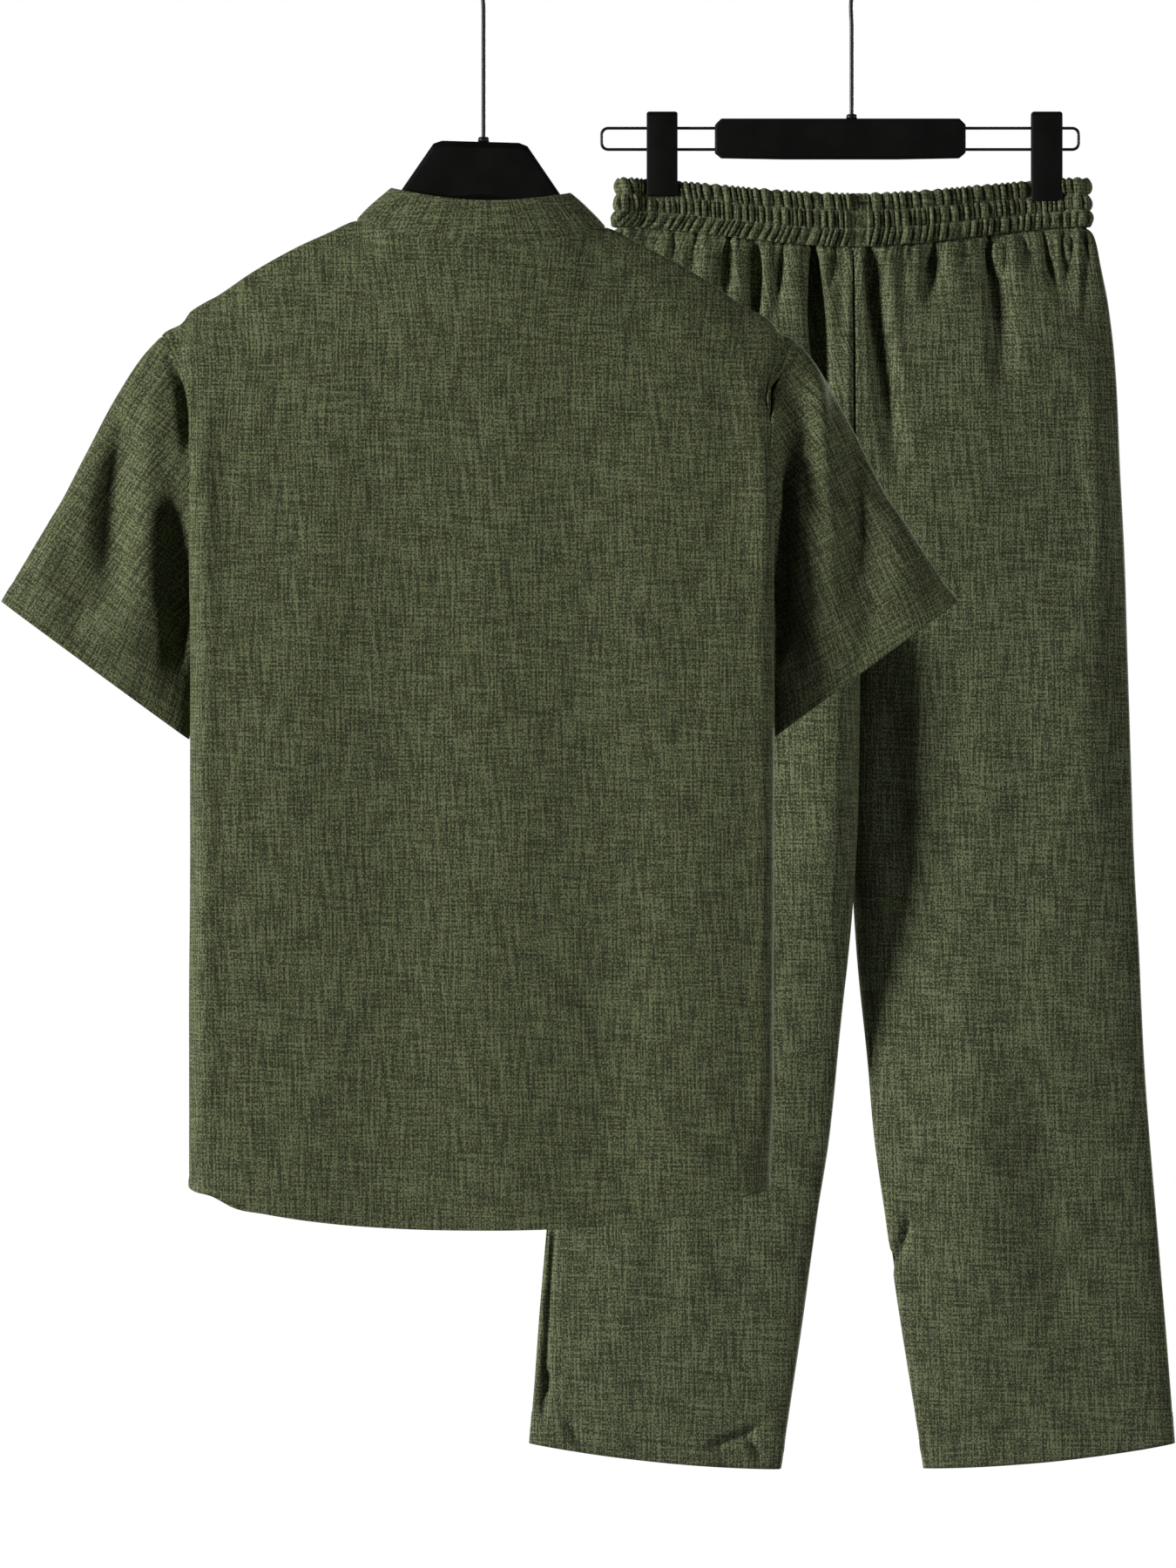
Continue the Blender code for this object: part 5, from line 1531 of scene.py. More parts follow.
def circle(count: int) -> np.ndarray:
    """Points evenly round the unit circle."""
    turns = np.linspace(0.0, 2.0 * math.pi, count + 1)[:-1]
    return np.stack([np.cos(turns), np.sin(turns)], axis=1)


def lathe(centre: np.ndarray, along: np.ndarray, across: np.ndarray, out: np.ndarray, profile: tuple,
          ring: np.ndarray) -> tuple:
    """Points and faces of a turned shape.

    Args:
        centre: where its axis starts.
        along: one direction across the axis.
        across: the other.
        out: the axis.
        profile: radius and height of each ring, from one end to the other; radius 0 is a point.
        ring: the unit circle's points.

    Returns:
        Its points and its faces.
    """
    points, rings, faces = [], [], []
    for radius, height in profile:
        level = centre + out * height
        spots = ring if radius else ring[:1] * 0.0
        rings.append([len(points) + i for i in range(len(spots))])
        points += [level + (along * a + across * b) * radius for a, b in spots]
    for low, high in zip(rings[:-1], rings[1:]):
        count = max(len(low), len(high))
        for i in range(count):
            j = (i + 1) % count
            if len(low) == 1:
                faces.append((low[0], high[j], high[i]))
            elif len(high) == 1:
                faces.append((low[i], low[j], high[0]))
            else:
                faces.append((low[i], low[j], high[j], high[i]))
    return points, faces


def dress(piece: bpy.types.Object, slot: str, *nodes: str) -> None:
    """Let a piece ride on the body and stand for its solids.

    Args:
        piece: the piece.
        slot: its material slot; not used.
        nodes: the solids that it stands for.
    """
    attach(piece, "root")
    if nodes:
        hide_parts(*nodes)


@dataclass(frozen=True)
class TrouserForm:
    """The trousers' sizes, and the surfaces worked out from them, as drops below the band's top."""

    middle: tuple = (291.5, 100.0)
    waist_z: float = -189.7
    band_height: float = 38.8
    band_top_half: float = 184.3
    band_seam_half: float = 188.0
    band_top_sag: tuple = (13.1, 15.0)
    band_seam_sag: tuple = (16.6, 18.5)
    band_sag_half: float = 196.0
    clip_x: float = 153.1
    seam_gap: float = 0.3
    crotch_drop: float = 320.0
    crotch_curve: float = 60.0
    hem_outer: float = 1007.0
    hem_inner: float = 1027.0
    hem_bow: float = 4.0
    leg_cross: float = 9.0
    cross_drops: tuple = (325.0, 395.0, 600.0, 760.0)
    outer_round: float = 2.7
    left_round: float = 6.0
    right_round: float = 2.1
    least_depth: float = 1.9
    seam_wall: float = 1.5
    blend_drop: float = 90.0
    calm_side: tuple = (0.9, 0.06)
    fold_start: tuple = (0.35, 20.0)
    small_gather: float = 1.15
    bow_drops: tuple = (900.0, 110.0)
    sag_fade: float = 260.0
    band_ring: Profile = Profile(
        "share depth",
        (
            (0.0, 10.5),
            (0.3, 8.8),
            (0.55, 4.4),
            (0.68, 1.3),
            (0.74, 0.7),
            (0.905, 0.7),
            (0.945, 4.0),
            (0.965, 4.9),
        ),
    )
    leg: Profile = Profile(
        "drop inner outer back front",
        (
            (40.0, 0.0, 188.0, 12.0, 12.0),
            (46.0, 0.0, 192.5, 13.0, 13.0),
            (69.0, 0.0, 198.0, 17.0, 16.0),
            (100.0, 0.0, 204.2, 23.0, 21.0),
            (163.0, 0.0, 210.6, 31.0, 28.0),
            (240.0, 0.0, 213.8, 36.0, 32.0),
            (320.0, 0.3, 217.3, 36.0, 32.0),
            (345.0, 0.3, 218.2, 35.0, 31.0),
            (413.0, -2.2, 220.4, 31.0, 28.0),
            (500.0, -2.2, 223.0, 27.0, 25.0),
            (560.0, 0.3, 225.4, 25.0, 23.0),
            (621.0, 4.3, 228.7, 22.0, 21.0),
            (690.0, 11.1, 231.8, 20.0, 19.0),
            (760.0, 17.6, 236.6, 18.0, 17.0),
            (829.0, 28.0, 242.4, 16.5, 16.0),
            (898.0, 38.0, 248.3, 15.0, 15.0),
            (967.0, 48.0, 253.6, 14.0, 14.0),
            (1030.0, 57.5, 258.4, 13.0, 13.0),
        ),
    )

    def ring_depth(self, x: np.ndarray, half: float) -> np.ndarray:
        """Depth of the waistband's inner face, rounded shut at its ends.

        Args:
            x: places across.
            half: half the band's width.

        Returns:
            The depth at each place.
        """
        share = np.minimum(np.abs(x) / half, 1.0)
        last = self.band_ring.rows[-1]
        reach = np.clip((share - last[0]) / (1.0 - last[0]), 0.0, 1.0)
        return np.where(share <= last[0], self.band_ring.at("depth", share),
                        last[1] * np.sqrt(1.0 - reach * reach))

    def band_drop(self, x: np.ndarray, share: np.ndarray | float, front: np.ndarray | bool) -> np.ndarray:
        """Drop of the band below its top at the side, sagging between the clips.

        Args:
            x: places across.
            share: how far down the band they lie.
            front: whether they are on the front.

        Returns:
            The drop of each.
        """
        top = np.where(front, self.band_top_sag[1], self.band_top_sag[0])
        seam = np.where(front, self.band_seam_sag[1], self.band_seam_sag[0])
        sag = top * (1 - share) + seam * share
        inside = 0.5 + 0.5 * np.cos(math.pi * np.minimum(np.abs(x) / self.band_sag_half, 1.0))
        return self.band_height * share + sag * inside

    def fold_height(self, folds: np.ndarray, x: np.ndarray, drop: np.ndarray) -> np.ndarray:
        """How far the folds push the cloth outward.

        Args:
            folds: place, height, drift and length of each.
            x: the points' places across.
            drop: how far they lie below the seam.

        Returns:
            The push at each point.
        """
        places = np.stack([at + drift * drop for at, _, drift, _ in folds])
        places = np.maximum.accumulate(places, axis=0)
        heights = np.stack([high * (1.0 - smooth_step(drop / length)) for _, high, _, length in folds])
        k = np.clip((places <= x).sum(axis=0) - 1, 0, len(folds) - 2)[None]
        low = np.take_along_axis(places, k, axis=0)[0]
        high = np.take_along_axis(places, k + 1, axis=0)[0]
        t = np.clip((x - low) / np.maximum(high - low, 1e-6), 0.0, 1.0)
        t = 0.5 - 0.5 * np.cos(math.pi * t)
        start = np.take_along_axis(heights, k, axis=0)[0]
        end = np.take_along_axis(heights, k + 1, axis=0)[0]
        return start * (1 - t) + end * t

    def leg_grid(self, kind: str, folds: np.ndarray, across: np.ndarray, share: np.ndarray) -> np.ndarray:
        """A leg panel's outer face.

        Args:
            kind: back_left, back_right, front_left or front_right.
            folds: its folds: place, height, drift and length of each.
            across: 0 at the centre seam or inseam, 1 at the side seam, one for each column.
            share: 0 at the band's seam, 1 at the hem, one for each row.

        Returns:
            Rows by columns by 3, with the columns so that it faces out.
        """
        front, left = kind.startswith("front"), kind.endswith("left")
        seam = self.band_height + self.seam_gap
        a = np.broadcast_to(across[None], (len(share), len(across)))
        hem = self.hem_inner + (self.hem_outer - self.hem_inner) * a
        drop = seam + (hem - seam) * share[:, None]
        inner, outer = self.leg.at("inner", drop), self.leg.at("outer", drop)
        depth = self.leg.at("front" if front else "back", drop)
        above = drop <= self.crotch_drop
        start = np.where(above, self.seam_gap / 2.0, inner)
        x = start + (outer - start) * a
        reach = np.clip((drop - (self.crotch_drop - self.crotch_curve)) / self.crotch_curve, 0.0, 1.0)
        close = np.sqrt(1.0 - reach * reach)
        near = self.left_round if left else self.right_round
        far = self.outer_round
        open_part = np.maximum(1.0 - a**far, 0.0) ** (1.0 / far)
        inner_part = np.maximum(1.0 - (1.0 - a) ** near, 0.0) ** (1.0 / near)
        y = depth * open_part * (close + (1.0 - close) * inner_part)
        half = self.band_seam_half
        ring = self.ring_depth(np.minimum(x, half), half) + self.seam_wall
        end = self.band_ring.rows[-1][0]
        ring = np.where(x > half * end, self.ring_depth(x * half / outer, half), ring)
        below = drop - seam
        blend = smooth_step(below / self.blend_drop)
        y = ring * (1.0 - blend) + y * blend
        calm = np.where(a > self.calm_side[0], smooth_step((1.0 - a) / self.calm_side[1]), 1.0)
        opening = np.minimum(self.fold_start[0] + below / self.fold_start[1], 1.0)
        y = y + self.fold_height(folds, x, np.maximum(below, 0.0)) * calm * opening
        y = y + self.small_gathers(kind, x, below) * calm
        sag = self.band_drop(x, 1.0, front) - self.band_height
        low, reach = self.bow_drops
        bow = self.hem_bow * 4.0 * a * (1.0 - a) * smooth_step((drop - low) / reach)
        fall = drop + bow + sag * (1.0 - smooth_step(below / self.sag_fade))
        least = self.least_depth * np.minimum((1.0 - a) / 0.05, 1.0)
        least = np.where(above, least * np.minimum(1.0, close * 3.0), 0.0)
        y = np.maximum(y, np.maximum(least, 0.0))
        begin, full, leaving, gone = self.cross_drops
        crossed = smooth_step((drop - begin) / (full - begin))
        crossed = crossed * (1.0 - smooth_step((drop - leaving) / (gone - leaving)))
        ahead = self.leg_cross * crossed * (1.0 - a) ** 2
        y = y + (ahead if left != front else -ahead)
        side = -1.0 if left else 1.0
        points = np.stack([self.middle[0] + side * x, self.middle[1] + (y if front else -y),
                           self.waist_z - fall], axis=-1)
        return points[:, ::-1] if (side > 0) == front else points

    def small_gathers(self, kind: str, x: np.ndarray, below: np.ndarray) -> np.ndarray:
        """The many short gathers that come out of the band's seam.

        Args:
            kind: the leg panel.
            x: the points' places across.
            below: how far they lie below the seam.

        Returns:
            How far each is pushed out.
        """
        seed = {"back_right": 0.3, "back_left": 1.7, "front_right": 2.9, "front_left": 4.1}[kind]
        phase = x * 0.73 + 0.9 * np.sin(x * 0.11 + seed) + seed
        lively = 0.65 + 0.35 * np.sin(x * 0.19 + 2.0 * seed)
        length = 9.0 + 6.0 * np.sin(x * 0.087 + seed) ** 2
        return self.small_gather * lively * np.cos(phase) * np.exp(-np.maximum(below, 0.0) / length)


# Folds of the trousers that open below the band, from the centre seam outward: where each
# starts, its height (a low one is a trough), how it drifts outward, and how far it lasts
TROUSER_FOLDS = {
    "back_right": (
        (0.0, 0.5, 0.00, 120.0), (7.0, 1.8, 0.05, 90.0), (16.0, -5.5, 0.13, 250.0),
        (27.0, 2.6, 0.12, 150.0), (39.0, -2.2, 0.04, 50.0), (51.0, 2.0, 0.04, 60.0),
        (65.0, -5.0, 0.03, 75.0), (80.0, 1.8, 0.04, 90.0), (97.0, -2.0, 0.05, 60.0),
        (112.0, -4.4, 0.09, 200.0), (129.0, 2.0, 0.06, 110.0), (143.0, -1.6, 0.04, 45.0),
        (156.0, -4.2, 0.04, 60.0), (165.0, 1.2, 0.03, 60.0), (173.0, -3.2, 0.03, 90.0),
        (181.0, 0.8, 0.03, 60.0), (188.0, 0.0, 0.0, 60.0),
    ),
    "back_left": (
        (0.0, 0.8, 0.00, 120.0), (8.0, -3.4, 0.02, 90.0), (20.0, 1.8, -0.04, 90.0),
        (33.0, -5.5, -0.10, 175.0), (46.0, 2.6, -0.04, 110.0), (60.0, -2.0, 0.00, 45.0),
        (70.0, 1.6, 0.00, 60.0), (80.0, -3.4, 0.02, 100.0), (92.0, 1.8, 0.02, 70.0),
        (102.0, -3.2, 0.03, 90.0), (118.0, 2.0, 0.05, 120.0), (134.0, -2.2, 0.05, 60.0),
        (148.0, 1.4, 0.05, 70.0), (159.0, -2.6, 0.05, 80.0), (170.0, 1.2, 0.04, 60.0),
        (180.0, -2.0, 0.03, 60.0), (188.0, 0.0, 0.0, 60.0),
    ),
    "front_right": (
        (0.0, 0.6, 0.00, 120.0), (12.0, -3.4, 0.03, 85.0), (25.0, 1.8, 0.05, 80.0),
        (37.0, -2.0, 0.04, 50.0), (50.0, 1.6, 0.04, 70.0), (62.0, -5.0, 0.05, 140.0),
        (76.0, 2.0, 0.05, 90.0), (90.0, -2.0, 0.05, 60.0), (103.0, 1.6, 0.05, 70.0),
        (118.0, -4.4, 0.06, 110.0), (132.0, 1.8, 0.06, 80.0), (145.0, -1.8, 0.05, 50.0),
        (156.0, 1.2, 0.04, 60.0), (167.0, -3.0, 0.03, 80.0), (176.0, 1.0, 0.03, 60.0),
        (183.0, -1.4, 0.02, 50.0), (188.0, 0.0, 0.0, 60.0),
    ),
    "front_left": (
        (0.0, 0.6, 0.00, 120.0), (10.0, -2.6, 0.02, 70.0), (22.0, 1.8, 0.02, 80.0),
        (36.0, -5.0, 0.06, 150.0), (49.0, 2.0, 0.05, 90.0), (61.0, -1.8, 0.04, 50.0),
        (74.0, 1.6, 0.04, 60.0), (88.0, -4.0, 0.04, 90.0), (102.0, 1.8, 0.05, 80.0),
        (116.0, -2.0, 0.05, 50.0), (129.0, 1.6, 0.05, 70.0), (143.0, -4.0, 0.05, 100.0),
        (155.0, 1.4, 0.04, 60.0), (165.0, -2.0, 0.03, 60.0), (174.0, 1.0, 0.03, 60.0),
        (182.0, -1.8, 0.02, 60.0), (188.0, 0.0, 0.0, 60.0),
    ),
}
LEG_CREASES = {
    "back_right": creases(
        (303, -239, 311, -330, 329, -447, -8.5, 7.5, 0, 0.05, 0.45, 0.4),
        (320, -239, 317, -262, 312, -290, -3.5, 3.8, 0, 0.06, 0.8, 0.5),
        (338, -239, 337, -256, 337, -272, -3.6, 3.4, 0, 0.06, 0.8, 0.5),
        (358, -237, 353, -262, 349, -304, -6.5, 5.4, 0, 0.05, 0.6, 0.35),
        (380, -235, 380, -254, 377, -272, -3.4, 3.6, 0, 0.06, 0.8, 0.5),
        (399, -233, 404, -275, 409, -400, -7, 9, 0.25, 0.05, 0.6, 0.3),
        (427, -231, 430, -252, 437, -274, -3.6, 3.8, 0, 0.06, 0.8, 0.5),
        (443, -229, 447, -262, 462, -306, -6, 5, 0.2, 0.05, 0.6, 0.35),
        (460, -229, 461, -262, 464, -300, -4.2, 5, 0, 0.1, 0.7, 0.4),
        (476, -227, 477, -250, 481, -272, -3.2, 3.6, 0, 0.06, 0.8, 0.5),
        (478, -330, 486, -440, 490, -590, 4.5, 11),
        (380, -860, 388, -1000, 396, -1200, 8, 50),
        (350, -420, 356, -560, 346, -760, 2.2, 20),
        (420, -480, 428, -640, 424, -860, -2.2, 20),
        (470, -420, 478, -600, 486, -820, 1.8, 15),
        (372, -760, 384, -900, 398, -1080, 2, 20),
        (320, -560, 326, -700, 340, -860, -2.6, 16),
        (340, -1010, 333, -1036, 320, -1064, -6.5, 3.8),
        (330, -1048, 342, -1058, 356, -1060, -3.6, 4),
        (396, -1190, 420, -1188, 440, -1180, -2.6, 6),
        (440, -900, 450, -1020, 462, -1160, -2, 18),
    ),
    "back_left": creases(
        (149, -227, 149, -246, 147, -266, -4.2, 3.6, 0, 0.05, 0.7, 0.5),
        (168, -230, 166, -250, 160, -284, -5.5, 4.8, 0, 0.05, 0.6, 0.4),
        (194, -233, 191, -262, 191, -300, -7, 5, 0, 0.05, 0.5, 0.35),
        (214, -235, 217, -272, 210, -330, -10, 5.6, 0, 0.05, 0.4, 0.3),
        (237, -237, 234, -266, 228, -320, -5.5, 4.4, 0, 0.06, 0.6, 0.4),
        (260, -239, 261, -300, 268, -405, -14, 6.4, 0.15, 0.04, 0.3, 0.25),
        (278, -239, 276, -262, 271, -300, -6, 4.4, 0, 0.05, 0.7, 0.45),
        (276, -430, 279, -640, 268, -850, 17, 28, -0.5, 0.35),
        (190, -640, 182, -800, 172, -1000, -2.4, 20),
        (226, -780, 222, -900, 206, -1060, -2.6, 16),
        (150, -960, 158, -1040, 176, -1120, 2.6, 16),
        (132, -900, 122, -1000, 108, -1150, 2.2, 18),
        (54, -1010, 49, -1090, 44, -1192, -5, 3.4, 0, 0.15, 0.2),
        (46, -1136, 52, -1150, 47, -1164, -4, 4),
        (62, -1176, 70, -1190, 80, -1202, -3.6, 4),
        (170, -1201, 200, -1194, 228, -1176, -5.5, 3.6),
        (206, -1186, 214, -1200, 222, -1214, -3.6, 3.8),
    ),
    "front_right": creases(
        (310, -241, 312, -270, 318, -300, -5, 4.2, 0, 0.06, 0.7),
        (334, -240, 334, -266, 331, -290, -4, 3.6, 0, 0.06, 0.8),
        (356, -239, 360, -290, 368, -370, -7, 6.5, 0, 0.06, 0.5),
        (384, -237, 382, -262, 378, -288, -4, 3.8, 0, 0.06, 0.8),
        (408, -234, 413, -280, 420, -350, -6, 5.5, 0, 0.06, 0.6),
        (436, -232, 438, -260, 446, -292, -4.4, 4, 0, 0.06, 0.7),
        (462, -229, 465, -260, 471, -300, -4.6, 4.2, 0, 0.06, 0.7),
        (356, -400, 350, -600, 362, -820, 2.2, 20),
        (424, -430, 432, -640, 428, -880, -2.4, 20),
        (380, -780, 392, -920, 404, -1100, -2.2, 18),
        (452, -860, 462, -980, 470, -1140, 2, 16),
        (346, -1030, 360, -1050, 380, -1058, -2.4, 6),
    ),
    "front_left": creases(
        (276, -241, 274, -270, 268, -306, -5, 4.2, 0, 0.06, 0.7),
        (252, -240, 253, -264, 256, -290, -4, 3.6, 0, 0.06, 0.8),
        (226, -238, 221, -290, 212, -360, -7, 6.5, 0, 0.06, 0.5),
        (198, -235, 200, -262, 204, -286, -4, 3.8, 0, 0.06, 0.8),
        (172, -232, 168, -276, 160, -340, -6, 5.5, 0, 0.06, 0.6),
        (142, -229, 140, -258, 134, -290, -4.4, 4, 0, 0.06, 0.7),
        (120, -226, 118, -256, 112, -290, -4.2, 4, 0, 0.06, 0.7),
        (232, -420, 226, -600, 218, -820, 2.2, 20),
        (170, -460, 162, -660, 152, -880, -2.4, 20),
        (204, -820, 194, -940, 182, -1100, -2.2, 18),
        (124, -880, 116, -1000, 106, -1150, 2, 16),
        (186, -1150, 170, -1170, 150, -1180, -2.4, 6),
    ),
}


@dataclass
class Trousers:
    """The trousers' leg panels, gathered band and sewing."""

    form: TrouserForm = field(default_factory=TrouserForm)
    back_columns: int = 134
    front_columns: int = 104
    gathers: tuple = (122, 156, 128)
    ring_points: int = 1600
    band_plain: float = 1.1
    band_rows: tuple = (0.0, 0.34, 0.67, 1.0)
    band_lean: tuple = ((4.0, 0.3), (1.8, -0.2), (-7.0, -1.5))
    band_ring_points: int = 4001
    clip_reach: float = 16.0
    clip_hold: tuple = (0.8, 0.65, 0.33, 0.16)
    calm_patch: tuple = (-2.0, 12.0, 0.25)
    puff: float = 1.6
    puff_shape: float = 0.7
    gather_height: float = 4.2
    crest_shape: float = 1.25
    front_lean: float = 0.6
    pinched_thick: tuple = (0.45, 2.3)
    ruffle: float = 1.5
    crest_sway: float = 1.2
    hem: float = 24.0
    centre_groove: tuple = (3.0, 0.0)
    seam_fade: float = 14.0
    leg_cut: tuple = (0.320, 1.020, 0.240)
    band_cut: tuple = (0.830, 0.045)

    def leg_panels(self) -> dict:
        """Work out the four leg panels.

        Returns:
            The panels by their kinds.
        """
        near = (0.0, 0.8, 1.8, 3.2, 5.0, 7.5)
        fine = np.arange(10.5, 90.0, 3.6)
        length = self.form.hem_outer - self.form.band_height
        plain = np.linspace(93.0, length - 66.0, 124)
        low = np.linspace(length - 63.0, length, 23)
        drops = np.concatenate([near, fine, plain, low])
        share = drops / length
        panels = {}
        for kind, folds in TROUSER_FOLDS.items():
            count = self.back_columns if kind.startswith("back") else self.front_columns
            t = np.linspace(0.0, 1.0, count + 1)
            across = 0.65 * t + 0.35 * (0.5 - 0.5 * np.cos(math.pi * t))
            grid = self.form.leg_grid(kind, np.array(folds), across, share)
            panels[kind] = ClothPanel(f"trousers_{kind}_cloth", f"trousers_{kind}", grid, False, 0.0)
        return panels

    def shape(self, panels: dict) -> None:
        """Crease, hem and seam the leg panels.

        Args:
            panels: the leg panels.
        """
        for number, (kind, panel) in enumerate(panels.items()):
            panel.crease(LEG_CREASES[kind], self.seam_fade, least=0.45)
            panel.turn_hem(Edge.BOTTOM, self.hem, 0.4)
            panel.roll_seam(Edge.TOP, depth=1.5, width=1.8)
            inner = Edge.LEFT if kind in ("back_right", "front_left") else Edge.RIGHT
            away = panel.from_edge(inner)
            above = smooth_step((panel.grid[..., 2] - self.crotch_z()) / 10.0)
            deep, rise = self.centre_groove if kind == "back_right" else (0.7, 0.9)
            panel.lift += (rise * bell(away - 4.0, 2.0) - deep * bell(away, 1.6)) * above
            panel.slub(0.3, 32.0, 0.8 + 1.3 * number)

    def crotch_z(self) -> float:
        """The height of the crotch."""
        return self.form.waist_z - self.form.crotch_drop - self.form.band_seam_sag[0]

    def band(self) -> ClothPanel:
        """Work out the gathered band: three puffed rows between lines of sewing.

        Returns:
            The band.
        """
        form = self.form
        count = self.ring_points
        half = (form.band_top_half + form.band_seam_half) / 2.0
        turns = np.linspace(0.0, 2.0 * math.pi, self.band_ring_points)
        base = np.stack([half * np.sin(turns), -np.copysign(form.ring_depth(half * np.sin(turns), half),
                                                            np.cos(turns))], axis=1)
        length = np.concatenate([[0.0], np.cumsum(np.linalg.norm(np.diff(base, axis=0), axis=1))])
        at = np.interp(np.arange(count) / count * length[-1], length, np.arange(len(turns)))
        ring = np.stack([np.interp(at, np.arange(len(turns)), base[:, k]) for k in (0, 1)], axis=1)
        ahead = unit(np.roll(ring, -1, axis=0) - np.roll(ring, 1, axis=0))
        out = np.stack([ahead[:, 1], -ahead[:, 0]], axis=1)
        x, front = ring[:, 0], ring[:, 1] > 0
        pinch = bell(np.abs(x) - form.clip_x, self.clip_reach, 6)
        left, right, calm = self.calm_patch
        flat = (~front) & (x > left) & (x < right)
        hold, let_go, level, over = self.clip_hold
        rows = []
        for share in self.band_shares():
            held = hold - let_go * smooth_step((share - level) / over)
            lively = np.where(flat, calm, 1.0) * (1.0 - held * pinch)
            rows.append(self.band_row(share, x, ring, out, front, lively, half))
        panel = ClothPanel("trousers_waistband_cloth", "trousers_waistband", np.array(rows), True, 0.0)
        panel.wall = 0.8
        panel.steady = 60
        return panel

    def band_shares(self) -> np.ndarray:
        """The band's rows, closer together beside the lines of sewing.

        Returns:
            How far down the band each lies, from 0 to 1.
        """
        shares = []
        for low, high in zip(self.band_rows[:-1], self.band_rows[1:]):
            t = np.linspace(0.0, 1.0, 10)[:-1]
            shares += list(low + (high - low) * (0.5 * t + 0.5 * (0.5 - 0.5 * np.cos(math.pi * t))))
        return np.array([*shares, 1.0])

    def band_row(self, share: float, x: np.ndarray, ring: np.ndarray, out: np.ndarray,
                 front: np.ndarray, lively: np.ndarray, half: float) -> np.ndarray:
        """One level ring of the band.

        Args:
            share: how far it lies down the band.
            x: each point's place across.
            ring: the points of the plain inner ring.
            out: the way out from each.
            front: which points are on the front.
            lively: how strongly each point gathers.
            half: half the ring's width.

        Returns:
            The ring's points.
        """
        form = self.form
        row = int(np.clip(np.searchsorted(self.band_rows, share, side="right") - 1, 0, 2))
        low, high = self.band_rows[row], self.band_rows[row + 1]
        local = (share - low) / (high - low)
        puff = max(math.sin(math.pi * local), 0.0) ** self.puff_shape
        to_right = smooth_step(0.5 + 0.5 * x / half)
        left, right = self.band_lean[row]
        lean = (left * (1.0 - to_right) + right * to_right) * np.where(front, self.front_lean, 1.0)
        step = np.linalg.norm(np.roll(ring, -1, axis=0) - ring, axis=1)
        run = np.cumsum(step) - lean * (local - 0.5)
        phase = run / step.sum() * self.gathers[row]
        phase += 0.42 * np.sin(phase * 0.93 + row * 1.3) + 0.30 * np.sin(phase * 0.41 + 2.1 * row)
        crest = np.abs(np.sin(math.pi * phase)) ** self.crest_shape
        uneven = 0.82 + 0.3 * np.sin(np.floor(phase) * 2.4 + row * 1.7)
        tall = self.gather_height * (0.42 + 0.58 * puff) * uneven * crest
        thick = self.band_plain + 0.2 + lively * (self.puff * puff + tall)
        thick = np.where(lively < self.pinched_thick[0], np.minimum(thick, self.pinched_thick[1]), thick)
        spread = (form.band_top_half + (form.band_seam_half - form.band_top_half) * share) / half
        drop = form.band_drop(x * spread, share, front)
        ruffle = (1.0 - share) ** 8 * self.ruffle * (crest - 0.6) * lively
        shift = np.gradient(crest) * self.crest_sway * lively * puff
        px = ring[:, 0] * spread + out[:, 0] * thick + shift * out[:, 1]
        py = ring[:, 1] + out[:, 1] * thick - shift * out[:, 0]
        return np.stack([form.middle[0] + px, form.middle[1] + py, form.waist_z - drop + ruffle], axis=1)

    def stitches(self, panels: dict, band: ClothPanel) -> list:
        """The lines of the trousers' sewing.

        Args:
            panels: the leg panels.
            band: the waistband.

        Returns:
            The points of each line.
        """
        lines = [panel.line(Edge.BOTTOM, self.hem) for panel in panels.values()]
        face = band.outer() + band.normals() * 0.1
        shares = self.band_shares()
        for level in self.band_rows[1:-1]:
            row = int(np.argmin(np.abs(shares - level)))
            lines.append(np.concatenate([face[row], face[row][:1]]))
        return lines

    def build(self, cloth: bpy.types.Material, thread: bpy.types.Material, sewing: NodeRecipe) -> list:
        """Make every piece of the trousers.

        Args:
            cloth: the cloth's material.
            thread: the sewing thread's.
            sewing: the recipe that lays stitches.

        Returns:
            The objects.
        """
        panels = self.leg_panels()
        self.shape(panels)
        made = []
        width, length, area = self.leg_cut
        for panel in panels.values():
            piece = panel.build(cloth)
            dress(piece, "trouser_cloth", panel.node)
            LOG.info("%s: %.4f m2 of cloth, cut %.4f", panel.name, panel.area(), area)
            made.append(piece)
        band = self.band()
        band.slub(0.1, 9.0, 0.5)
        piece = band.build(cloth)
        dress(piece, "trouser_cloth", band.node)
        LOG.info("%s: %.4f m2 of cloth", band.name, band.area())
        made.append(piece)
        values = {"Pitch": 3.3 * MM, "Shape": (0.28 * MM, 0.28 * MM, 1.2 * MM), "Finish": thread}
        run = sewing.run("trousers_stitching", self.stitches(panels, band), values)
        dress(run, "trouser_cloth")
        made.append(run)
        return made


